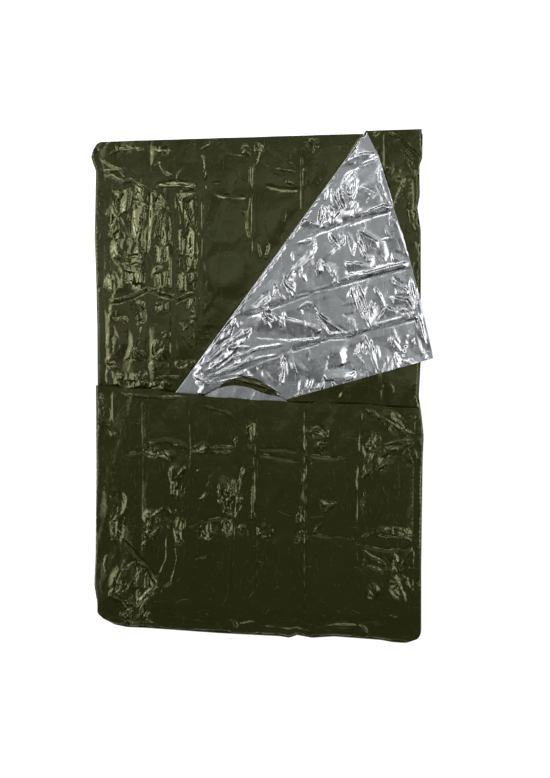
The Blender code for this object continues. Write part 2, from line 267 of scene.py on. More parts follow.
# %% Uneven edges and sides
LEFT_BULGE = ((-0.532, -0.022), (-0.515, -0.003), (-0.486, -0.003), (-0.447, 0.004),
              (-0.385, 0.001), (-0.200, -0.001), (-0.019, 0.000), (0.127, 0.001),
              (0.251, 0.004), (0.313, 0.007), (0.410, 0.005), (0.465, 0.004), (0.483, 0.011),
              (0.496, 0.015), (0.511, 0.011), (0.524, 0.003), (0.531, -0.009))
RIGHT_BULGE = ((-0.532, -0.016), (-0.524, -0.002), (-0.512, 0.002), (-0.373, 0.002),
               (-0.220, 0.004), (-0.151, 0.005), (-0.101, 0.007), (-0.061, 0.003),
               (-0.020, -0.003), (0.056, 0.001), (0.326, 0.001), (0.372, -0.006),
               (0.398, -0.001), (0.459, -0.002), (0.475, 0.004), (0.534, 0.005))
BOTTOM_BULGE = ((-0.364, -0.008), (-0.338, 0.001), (-0.296, 0.005), (-0.241, 0.004),
                (-0.084, 0.005), (0.048, 0.003), (0.069, 0.005), (0.086, -0.002),
                (0.117, 0.002), (0.164, -0.004), (0.262, -0.003), (0.292, 0.000),
                (0.329, 0.000), (0.345, -0.006))
FRONT_DIP = ((-0.364, 0.005), (-0.210, 0.007), (-0.120, 0.009), (-0.034, 0.011),
             (0.054, 0.009), (0.190, 0.003), (0.345, 0.000))
TONGUE = ((-0.364, -0.016), (-0.124, -0.016), (-0.104, -0.002), (-0.084, 0.009),
          (-0.067, 0.014), (-0.051, 0.017), (-0.029, 0.017), (-0.012, 0.014), (0.010, 0.006),
          (0.030, 0.002), (0.051, 0.000), (0.080, -0.016), (0.345, -0.016))
TURNED_EDGE = ((-0.264, 0.000), (-0.229, 0.003), (-0.155, 0.008), (-0.055, 0.011),
               (0.060, 0.013), (0.174, 0.011), (0.204, 0.005), (0.234, 0.000))
INNER_EDGE, BACK_EDGE, MIDDLE_EDGE = 0.012, 0.010, 0.006   # how far hidden edges stand in
WAVE, WAVE_RATES = 0.002, (19, 47)
EDGE_REACH, SIDE_REACH, BOTTOM_REACH, PAST_SIDE = 0.080, 0.090, 0.060, 0.004


def looked_up(table, place):
    """The second column of a table, read at places in its first."""
    places, values = zip(*table)
    return np.interp(place, places, values)


def tapered(value, start, end):
    """Goes smoothly from 0 at start to 1 at end."""
    share = np.clip((value - start) / (end - start), 0.0, 1.0)
    return share * share * (3 - 2 * share)


def straight_front(x):
    """The Y that the front's free edge would have if it ran straight."""
    return HEM_LINE + FRONT * (1 - FRONT_SLANT * x)


def front_edge(x):
    """The Y of the front's free edge, which sags a little."""
    return straight_front(x) - looked_up(FRONT_DIP, x)


def tongue_edge(x):
    """The Y of the film's edge below the front, part of which peeps out above it."""
    return straight_front(x) + looked_up(TONGUE, x)


def with_uneven_edges(u, v):
    """The flat sheet's V, where its top and lower edges run unevenly."""
    left, right = u < LEFT_END, u > RIGHT_END
    turned = looked_up(TURNED_EDGE, RIGHT_MIRROR - u)
    wave = WAVE * np.sin(u * WAVE_RATES[0]) * np.sin(u * WAVE_RATES[1])
    tongue = looked_up(TONGUE, LEFT_MIRROR - u)
    top = np.where(left, -MIDDLE_EDGE, np.where(right, turned, -BACK_EDGE))
    low = np.where(left, -tongue, np.where(right, INNER_EDGE, looked_up(FRONT_DIP, u) - wave))
    near_top = tapered(v, SHEET_TOP - EDGE_REACH, SHEET_TOP)
    near_low = tapered(-v, -SHEET_LOW - EDGE_REACH, -SHEET_LOW)
    return v + top * near_top + low * near_low


def with_uneven_outline(points):
    """The sides and the bottom fold of the whole stack, pressed outwards by the folds inside."""
    x, y = points[:, 0].copy(), points[:, 1].copy()
    at_left = tapered(-x, -LEFT - SIDE_REACH, -LEFT)
    at_right = tapered(x, RIGHT - SIDE_REACH, RIGHT) * (x < RIGHT + PAST_SIDE)
    at_bottom = tapered(-y, -BOTTOM - BOTTOM_REACH, -BOTTOM)
    points[:, 0] += at_right * looked_up(RIGHT_BULGE, y) - at_left * looked_up(LEFT_BULGE, y)
    points[:, 1] -= at_bottom * looked_up(BOTTOM_BULGE, x)
    return points


print(f"the front's free edge lies at Y {front_edge(0.0):.3f} in the middle")

# %% [markdown]
# A straight fold has an axis at some height. A point beyond the fold's line goes round that
# axis, and whatever is left of its distance carries on, flat and upside down, the other way.

# %% Folding
def rolled(points, at, outward, axis, bend, taking_part=True):
    """Points taken up and over a straight fold whose axis is at a height."""
    past = (points[:, :2] - at) @ np.asarray(outward)
    turn = np.clip(past / bend, 0, math.pi)
    rest = np.maximum(past - math.pi * bend, 0)
    above = axis - points[:, 2]
    shift = np.where((past > 0) & taking_part, above * np.sin(turn) - rest - past, 0.0)
    height = np.where((past > 0) & taking_part, axis - above * np.cos(turn), points[:, 2])
    return np.column_stack((points[:, :2] + shift[:, None] * np.asarray(outward), height))


def folded(u, v, height):
    """Where points of the flat sheet lie once every fold is made."""
    points = np.column_stack((u, with_uneven_edges(u, v), height))
    points = rolled(points, (LEFT_LINE, 0), (-1, 0), BACK + LEFT_BEND, LEFT_BEND)
    points = rolled(points, (RIGHT_LINE, 0), (1, 0), BACK + RIGHT_BEND, RIGHT_BEND)
    points = rolled(points, CORNER_TOP, CORNER_OUT, OVER + CORNER_BEND, CORNER_BEND, u > RIGHT_END)
    points = rolled(points, (0, HEM_LINE), (0, -1), HEM_AXIS, HEM_BEND)
    slanted = HEM_LINE + (points[:, 1] - HEM_LINE) * (1 - FRONT_SLANT * points[:, 0])
    points[:, 1] = np.where(v < HEM_END, slanted, points[:, 1])
    return points


def past_corner(x, y):
    """How far a place lies beyond the fold of the turned-back corner, on its upper left."""
    return (x - CORNER_TOP[0]) * CORNER_OUT[0] + (y - CORNER_TOP[1]) * CORNER_OUT[1]


tip = folded(np.array([SHEET_RIGHT]), np.array([SHEET_TOP]), np.array([BACK]))[0]
print("the free corner of the sheet ends up at", tip.round(3))

# %% [markdown]
# ## Which part of the sheet shows
# Only some of the sheet's faces can be seen, so only they get small triangles. A point of the
# flat sheet belongs to the front, the upper part, the strip at the right, the turned-back
# corner, or the tongue of film that peeps out over the front's edge.

# %% Parts of the sheet
FRONT_PART, UPPER_PART, STRIP_PART, CORNER_PART, TONGUE_PART = 1, 2, 3, 4, 5
UNDER_FRONT, UNDER_CORNER = 0.012, 0.010        # how far a part goes on where it is covered
TONGUE_DEPTH, TONGUE_MIDDLE, TONGUE_HALF = 0.034, -0.016, 0.110


def part_of(u, v):
    """The number of the part that each point of the flat sheet belongs to, or 0."""
    part = np.zeros(len(u), int)
    x_under, x_over = LEFT_MIRROR - u, RIGHT_MIRROR - u
    beyond = past_corner(x_over, v)
    part[(u > LEFT_LINE) & (u < RIGHT_LINE) & (v < HEM_END)] = FRONT_PART
    below = v > front_edge(x_under) - UNDER_FRONT
    part[(u < LEFT_END) & below & (past_corner(x_under, v) > -UNDER_CORNER)] = UPPER_PART
    near_tongue = np.abs(x_under - TONGUE_MIDDLE) < TONGUE_HALF
    part[(u < LEFT_END) & (v < SHEET_LOW + TONGUE_DEPTH) & near_tongue] = TONGUE_PART
    # A turned-back corner covers whatever its own mirror image reaches.
    mirror_x = x_over - 2 * beyond * CORNER_OUT[0]
    mirror_y = v - 2 * beyond * CORNER_OUT[1]
    over = (u > RIGHT_END) & (v > HEM_LINE)
    past_edge = mirror_x < RIGHT_MIRROR - SHEET_RIGHT + UNDER_CORNER
    uncovered = past_edge | (mirror_y > SHEET_TOP - UNDER_CORNER)
    below = v > front_edge(x_over) - UNDER_FRONT
    part[over & (beyond < 0) & uncovered & below] = STRIP_PART
    below = mirror_y > front_edge(mirror_x) - UNDER_FRONT
    part[over & (beyond > HALF_FOLD) & below] = CORNER_PART
    return part


def to_free_edge(u, v):
    """How far each point of the flat sheet is from the sheet's nearest edge."""
    sides = np.minimum(u - SHEET_LEFT, SHEET_RIGHT - u)
    return np.minimum(sides, np.minimum(v - SHEET_LOW, SHEET_TOP - v))


sample = np.meshgrid(np.linspace(SHEET_LEFT, SHEET_RIGHT, 200),
                     np.linspace(SHEET_LOW, SHEET_TOP, 150))
counts = np.bincount(part_of(*(line.ravel() for line in sample)))
print("share of the sheet hidden and in each part:", (counts / counts.sum()).round(3))

# %% [markdown]
# ## Ridges and valleys
# Film that has been packed small keeps every crease. Noise alone would give it a random
# crumple, but the creases of a real blanket run along its packing folds and fan out from its
# corners, so they are laid as bent lines. A ridge falls away evenly to each side of its line.
# A narrow side is steep and mirrors little light, and a wide one is gentle and can face a
# soft box. Its rise swells and sinks a little along the line, and it ends in a point.

# %% Ridges
MM, PER_CENT = 0.001, 0.01
RIDGE_POINT = 0.016                         # over how long a ridge comes to its end
RIDGE_SWELL, SWELL_RATE, SWELL_START = 0.2, 210, 500


def along_path(x, y, path):
    """Each place's distance to a bent line, its way along it to the nearer end, and its side."""
    steps = np.diff(path, axis=0)
    lengths = np.hypot(steps[:, 0], steps[:, 1])
    starts = np.concatenate(([0.0], np.cumsum(lengths)))
    best, to_end, side = np.full(len(x), np.inf), np.zeros(len(x)), np.zeros(len(x))
    for start, step, length, run in zip(path, steps, lengths, starts):
        along = ((x - start[0]) * step[0] + (y - start[1]) * step[1]) / length
        across = ((x - start[0]) * step[1] - (y - start[1]) * step[0]) / length
        kept = np.clip(along, 0, length)
        away = np.hypot(across, along - kept)
        nearer = away < best
        best = np.where(nearer, away, best)
        to_end = np.where(nearer, np.minimum(run + kept, starts[-1] - run - kept), to_end)
        side = np.where(nearer, np.sign(across), side)
    return best, to_end, side


def ridges_rise(x, y, ridges):
    """The summed rise of ridges, and how near each place is to one, from 0 to 1."""
    rise, nearness = np.zeros(len(x)), np.zeros(len(x))
    for height, left_width, right_width, *path in ridges:
        line = np.asarray(path) * MM
        reach = max(left_width, right_width) * MM
        low, high = line.min(axis=0) - reach, line.max(axis=0) + reach
        near = (x > low[0]) & (x < high[0]) & (y > low[1]) & (y < high[1])
        if not near.any():
            continue
        away, to_end, side = along_path(x[near], y[near], line)
        width = np.where(side > 0, right_width, left_width) * MM
        profile = np.maximum(np.clip(to_end / RIDGE_POINT, 0, 1) - away / width, 0)
        swell = 1 - RIDGE_SWELL * np.sin(to_end * SWELL_RATE + line[0, 0] * SWELL_START)
        rise[near] += height * MM * profile * swell
        nearness[near] = np.maximum(nearness[near], np.minimum(2 * profile, 1))
    return rise, nearness


middle = ridges_rise(np.zeros(1), np.zeros(1), [(1.0, 5, 5, (0, -50), (0, 50))])[0]
print(f"a ridge of 1 mm rises {middle[0] * 1000:.2f} mm at its middle")

# %% [markdown]
# ## Crumpled film
# Stiff film does not crumple into soft hills. It breaks into flat triangles with sharp lines
# between them. So crumpled film is a lattice of scattered points of random height with a flat
# triangle between each three, and a patch says where on the blanket it is crumpled, and how much.

# %% Crumpled patches
LATTICE_SPAN = 2.0                          # metres
SCATTER = 0.42                              # in spacings of the lattice
PATCH_RIM = 0.25                            # in half sizes of the patch


class Facets:
    """Flat triangles between scattered points of random height, longer one way."""

    def __init__(self, seed, spacing, stretch, turn):
        rng = np.random.default_rng(seed)
        self.spacing, self.stretch, self.turn = spacing, stretch, turn
        self.count = int(LATTICE_SPAN / spacing)
        self.shift = rng.uniform(-SCATTER, SCATTER, (self.count, self.count, 2))
        self.height = rng.uniform(-1, 1, (self.count, self.count))

    def corner(self, column, row):
        shift = self.shift[row, column]
        return column + shift[..., 0], row + shift[..., 1], self.height[row, column]

    def rise(self, x, y):
        """The height at each place, from -1 to 1, of the triangle that it lies in."""
        cosine, sine = math.cos(self.turn), math.sin(self.turn)
        across = (x * cosine + y * sine) / self.spacing + self.count / 2
        along = (y * cosine - x * sine) / self.stretch / self.spacing + self.count / 2
        column, row = np.floor(across).astype(int), np.floor(along).astype(int)
        best, found = np.full(len(x), -np.inf), np.zeros(len(x))
        for c, r in [(column + step, row + up) for up in (-1, 0, 1) for step in (-1, 0, 1)]:
            a, b = self.corner(c, r), self.corner(c + 1, r + 1)
            dx, dy = across - a[0], along - a[1]
            for side in (self.corner(c + 1, r), self.corner(c, r + 1)):
                area = (b[0] - a[0]) * (side[1] - a[1]) - (b[1] - a[1]) * (side[0] - a[0])
                to_side = ((b[0] - a[0]) * dy - (b[1] - a[1]) * dx) / area
                to_b = (dx * (side[1] - a[1]) - dy * (side[0] - a[0])) / area
                least = np.minimum(np.minimum(to_side, to_b), 1 - to_side - to_b)
                height = a[2] + to_side * (side[2] - a[2]) + to_b * (b[2] - a[2])
                found = np.where(least > best, height, found)
                best = np.maximum(best, least)
        return found


def patches_share(x, y, patches):
    """How crumpled each place is, from 0 to 1."""
    share = np.zeros(len(x))
    for middle_x, middle_y, half_across, half_along, turn, strength in patches:
        cosine, sine = math.cos(math.radians(turn)), math.sin(math.radians(turn))
        dx, dy = x / MM - middle_x, y / MM - middle_y
        across = (dx * cosine + dy * sine) / half_across
        along = (dy * cosine - dx * sine) / half_along
        inside = tapered(1 - np.hypot(across, along), -PATCH_RIM, PATCH_RIM)
        share = np.maximum(share, strength * inside)
    return share


places = np.linspace(0, 0.012, 5)
print("how crumpled a patch of 10 mm is, outwards:",
      patches_share(places, np.zeros(5), [(0, 0, 10, 10, 0, 1)]).round(2))

# %% [markdown]
# ## Facets laid one by one
# A few flats between creases are so large that their lean decides how the blanket looks. Each
# is a polygon with a slope of its own, which levels out at its outline.

# %% Facets
def facets_rise(x, y, facets, edge):
    """The summed rise of flat facets, and how far inside one each place is, from 0 to 1."""
    rise, cover = np.zeros(len(x)), np.zeros(len(x))
    for slope_x, slope_y, *corners in facets:
        corners = np.asarray(corners) * MM
        inside = np.full(len(x), np.inf)
        for start, end in zip(corners, np.roll(corners, -1, axis=0)):
            run = (end - start) / np.linalg.norm(end - start)
            inside = np.minimum(inside, (y - start[1]) * run[0] - (x - start[0]) * run[1])
        near = inside > 0
        middle = corners.mean(axis=0)
        height = slope_x * (x[near] - middle[0]) + slope_y * (y[near] - middle[1])
        share = np.minimum(inside[near] / edge, 1)
        rise[near] += height * PER_CENT * share
        cover[near] = np.maximum(cover[near], share)
    return rise, cover


square = [(30, 0, (-10, -10), (10, -10), (10, 10), (-10, 10))]
rise = facets_rise(np.array([-0.005, 0.005]), np.zeros(2), square, 0.003)[0]
print(f"a facet of 30 per cent rises {np.ptp(rise) * 1000:.1f} mm over 10 mm")

# %% [markdown]
# ## The creases of this blanket
# Creases are easiest to lay as they are seen, so the tables below were written with places in
# the camera's frame as column,row in pixels. Each place is followed along its line of sight down
# to the layer it lies on. What depends on the light, such as how far a facet leans, is worked
# out from the soft boxes, so the tables only say how strong a crease looks.

# %% From the camera's frame to the blanket
MIDDLE_COLUMN = 275                                     # pixels
LEAN = math.atan(FOCUS / (MIDDLE_COLUMN + 4928))        # the upright edges meet at column -4928
LEFT_SIDE, RIGHT_SIDE, WIDTH_SEEN = 96, 421.5, 0.715    # columns of the sides, and metres between
MIDDLE_SEEN = (258.5, 384.2)                            # the pixel of the blanket's middle
LAYER = {FRONT_PART: 0.014, UPPER_PART: 0.004, STRIP_PART: 0.006, CORNER_PART: 0.008}


def followed(pixel, sight, height):
    """Where the line of sight through a pixel comes down to a height, in metres."""
    sine, cosine = math.sin(LEAN), math.cos(LEAN)
    a, b = (pixel[0] - MIDDLE_COLUMN) / FOCUS, (ROW_SQUARE_ON - pixel[1]) / FOCUS
    x = (a * (sight - height * cosine) + height * sine) / (cosine + a * sine)
    return x, b * (sight - x * sine - height * cosine)


SIGHT = WIDTH_SEEN / (followed((RIGHT_SIDE, 0), 1, 0)[0] - followed((LEFT_SIDE, 0), 1, 0)[0])
ASIDE, BELOW = followed(MIDDLE_SEEN, SIGHT, 0)


def seen_at(pixel, part):
    """X and Y, in whole millimetres, of the place on a part's layer that is seen at a pixel."""
    x, y = followed(pixel, SIGHT, LAYER[part])
    return round((x - ASIDE) * 1000), round((y - BELOW) * 1000)


def rows(text, part):
    """The numbers of each line, and then its places. A line that starts with a space goes on."""
    found = []
    for line in text.replace("\n ", " ").strip().splitlines():
        words = line.split()
        numbers = [float(word) for word in words if "," not in word]
        pixels = [tuple(map(float, word.split(","))) for word in words if "," in word]
        found.append((numbers, [seen_at(pixel, part) for pixel in pixels]))
    return found


print("the middle of the frame is seen at", seen_at((275, 389), FRONT_PART), "mm")

# %% [markdown]
# Level film mirrors the point of the ceiling that lies as far beyond it as the camera lies on
# this side. Each slope moves that point, so the slope that finds a soft box can be worked out.
# A narrow margin inside the box is enough for a faint glint, and a strong one aims deeper.

# %% Slopes that find a soft box
BOXES = {name: [round(edge, 3) for edge in (x - width / 2, x + width / 2,
                                            y - height / 2, y + height / 2)]
         for name, x, y, width, height, _ in SOFT_BOXES}
NEAR_BOXES = ("left", "far", "right", "near")
BRIGHT_BOXES = ("left bright", "far bright", "right bright")
EYE_X, EYE_Y, TWICE_UP = 0.505, 0.191, 4.5
SHY, DEEP, BRIGHT_MARGIN, LINE_MARGIN = 0.06, 0.16, 0.12, 0.1
STEEPEST_TO_BRIGHT = 0.36


def mirrored(x, y):
    """The place on the ceiling that level film mirrors at a place in millimetres."""
    return 2 * (x / 1000) - EYE_X, 2 * (y / 1000) - EYE_Y


def facet_slope(x, y, tone):
    """The slopes in per cent at which film mirrors the soft box that needs the least slope."""
    seen = mirrored(x, y)

    def target(name, margin):
        low_x, high_x, low_y, high_y = BOXES[name]
        return (min(max(seen[0], low_x + margin), high_x - margin),
                min(max(seen[1], low_y + margin), high_y - margin))

    def away(place):
        return math.hypot(place[0] - seen[0], place[1] - seen[1])

    margin = SHY if tone < 0.7 else DEEP
    name = min(NEAR_BOXES, key=lambda box: away(target(box, margin)))
    found = target(name, margin)
    if tone >= 1.5 and name + " bright" in BOXES:
        bright = target(name + " bright", BRIGHT_MARGIN)
        found = bright if away(bright) / TWICE_UP < STEEPEST_TO_BRIGHT else found
    return [round(-(place - start) / TWICE_UP * 100) for place, start in zip(found, seen)]


def least_slope(seen, way, boxes):
    """The least slope one way at which film mirrors one of the boxes, or infinity."""
    for slope in [step / 100 for step in range(12, 43)]:
        x, y = seen[0] + TWICE_UP * slope * way[0], seen[1] + TWICE_UP * slope * way[1]
        for low_x, high_x, low_y, high_y in (BOXES[name] for name in boxes):
            if (low_x + LINE_MARGIN < x < high_x - LINE_MARGIN
                    and low_y + LINE_MARGIN < y < high_y - LINE_MARGIN):
                return slope
    return math.inf


def ridge_to_light(strength, places):
    """Rise and widths of a ridge with one side that mirrors a soft box, or None."""
    run = places[-1][0] - places[0][0], places[-1][1] - places[0][1]
    length = math.hypot(*run)
    if length < 6:
        return None
    dx, dy = run[0] / length, run[1] / length
    seen = mirrored(*(sum(values) / len(places) for values in zip(*places)))
    for boxes in (BRIGHT_BOXES, NEAR_BOXES) if strength >= 1.2 else (NEAR_BOXES,):
        left, right = least_slope(seen, (-dy, dx), boxes), least_slope(seen, (dy, -dx), boxes)
        if min(left, right) < math.inf:
            wide, thin = round(2.4 + 1.0 * strength, 1), 2.4
            rise = round((min(left, right) + 0.03) * wide * 1.05, 1)
            return (rise, wide, thin) if left <= right else (rise, thin, wide)
    return None


print("a level facet in the middle leans by", facet_slope(0, 0, 1), "per cent to find a light")

# %% [markdown]
# Silver film is bright at any slope, and the bands of the sky decide its tone. So a facet of the
# corner leans along Y by what its tone asks for, and a narrow one becomes a ridge.

# %% Facets of the corner
ALONG_FOR_TONE = {
    -3: -0.46, -2.5: -0.42, -2: -0.40, -1.5: -0.36, -1: -0.26, -0.8: -0.20, -0.5: -0.14,
    0.5: 0.24, 0.7: 0.26, 1: 0.30, 1.5: 0.34, 2: 0.40, 2.5: 0.46, 3: 0.55}
SIDEWAYS = random.Random(4)
WIDEST_LEAF, LEAF_SHARE, STEEP_SIDE, LEAST_WIDTH, HIGHEST = 22, 1.7, 3.5, 4.5, 4.0


def leaf(tone, places):
    """A narrow facet as the row of a ridge, or None for one that is wide."""
    count = len(places)
    cx, cy = (sum(values) / count for values in zip(*places))
    sxx = sum((x - cx) ** 2 for x, _ in places) / count
    syy = sum((y - cy) ** 2 for _, y in places) / count
    sxy = sum((x - cx) * (y - cy) for x, y in places) / count
    angle = 0.5 * math.atan2(2 * sxy, sxx - syy)
    dx, dy = math.cos(angle), math.sin(angle)
    if (abs(dy) >= abs(dx) and dy < 0) or (abs(dx) > abs(dy) and dx < 0):
        dx, dy = -dx, -dy
    along = [(x - cx) * dx + (y - cy) * dy for x, y in places]
    across = [(x - cx) * dy - (y - cy) * dx for x, y in places]
    length, width = max(along) - min(along), max(across) - min(across)
    if length < LEAF_SHARE * width or width > WIDEST_LEAF:
        return None
    upright, bright = abs(dy) >= abs(dx), tone > 0
    if upright and bright:
        seen = 2 * cx / 1000 - EYE_X
        slope = (max(0.80 + 0.12 * (tone - 1), seen + 0.3) - seen) / TWICE_UP
    elif upright:
        slope = 0.10 + 0.03 * abs(tone)
    else:
        slope = abs(ALONG_FOR_TONE[tone] - (cy / 1000 - EYE_Y) / 2.27) / 2
    crest = min(across) if upright == bright else max(across)
    gentle = max(width * 0.85, LEAST_WIDTH)
    left, right = (STEEP_SIDE, gentle) if upright == bright else (gentle, STEEP_SIDE)
    middle = round(cx + crest * 0.75 * dy), round(cy - crest * 0.75 * dx)
    ends = places[along.index(min(along))], places[along.index(max(along))]
    rise = round(min(slope * gentle, HIGHEST), 1)
    return rise, round(left), round(right), ends[0], middle, ends[1]


def corner_slope(x, y, tone):
    """The slopes in per cent of a facet of the corner."""
    x, y = x / 1000, y / 1000
    level = (y - EYE_Y) / math.sqrt((x - 0.508) ** 2 + (y - EYE_Y) ** 2 + 2.258 ** 2)
    along = -(ALONG_FOR_TONE[tone] - level) / 2
    return round(SIDEWAYS.uniform(-0.05, 0.05) * 100), round(along * 100)


print("tones of the corner run from", min(ALONG_FOR_TONE), "to", max(ALONG_FOR_TONE))

# %% [markdown]
# One function turns the tables of a part into what the relief reads.
# - ridges: strength, width to the left and to the right of the line, and the line itself. It is
#   below 0 for a valley. A strong ridge of even sides is turned to the light.
# - patches: middle column and row, half width and half height in pixels, turn in degrees, and
#   how crumpled it is
# - facets: how bright the facet looks, below 0 for dark, and its corners
#
# Each part also has the packing folds that cross it, as columns and rows, the height of the soft
# puff between them, and how much of the broad relief it keeps where it is calm.

# %% Creases of a part
PARTS = {}
FAINT, EVEN_SIDES, MM_PER_PIXEL = 0.55, 1, 2.1


def hull(places):
    """The corners of a facet, counter-clockwise."""
    def half(ordered):
        kept = []
        for x, y in ordered:
            while len(kept) > 1 and ((kept[-1][0] - kept[-2][0]) * (y - kept[-2][1])
                                     <= (kept[-1][1] - kept[-2][1]) * (x - kept[-2][0])):
                kept.pop()
            kept.append((x, y))
        return kept[:-1]

    ordered = sorted(set(places))
    return half(ordered) + half(ordered[::-1])


def ridge_row(part, numbers, places, scale):
    """One ridge in millimetres, turned to the light where it is strong."""
    strength, left, right = numbers
    aimed = None
    if part != CORNER_PART and strength > FAINT and abs(left - right) <= EVEN_SIDES:
        aimed = ridge_to_light(strength, places)
    if aimed:
        return (*aimed, *places)
    left, right = round(left * scale[1], 1), round(right * scale[1], 1)
    return (round(strength * scale[0], 1), left, right, *places)


def lay(part, ridges, patches, facets, upright, level, scale=(1, 1), **settings):
    """Keeps the creases of one part in whole millimetres."""
    found = dict(settings, ridges=[], patches=[], facets=[])
    for (tone,), places in rows(facets, part):
        narrow = leaf(tone, places) if part == CORNER_PART else None
        if narrow:
            found["ridges"].append(narrow)
            continue
        slope = corner_slope if part == CORNER_PART else facet_slope
        middle = (sum(values) / len(places) for values in zip(*places))
        found["facets"].append((*slope(*middle, tone), *hull(places)))
    found["ridges"] += [ridge_row(part, *row, scale) for row in rows(ridges, part)]
    for (column, row, half_x, half_y, turn, strength), _ in rows(patches, part):
        sizes = round(half_x * MM_PER_PIXEL), round(half_y * MM_PER_PIXEL)
        found["patches"].append((*seen_at((column, row), part), *sizes, turn, strength))
    found["upright"] = [seen_at((column, 400), part)[0] for column in upright]
    found["level"] = [seen_at((250, row), part)[1] for row in level]
    PARTS[part] = found
    kinds = ("ridges", "patches", "facets")
    print(f"part {part}:", ", ".join(f"{len(found[kind])} {kind}" for kind in kinds))

# %% [markdown]
# The front is the calmest part. Eight packing folds run up it, with pinches where the level
# folds cross them, and its lower corners are the most crumpled.

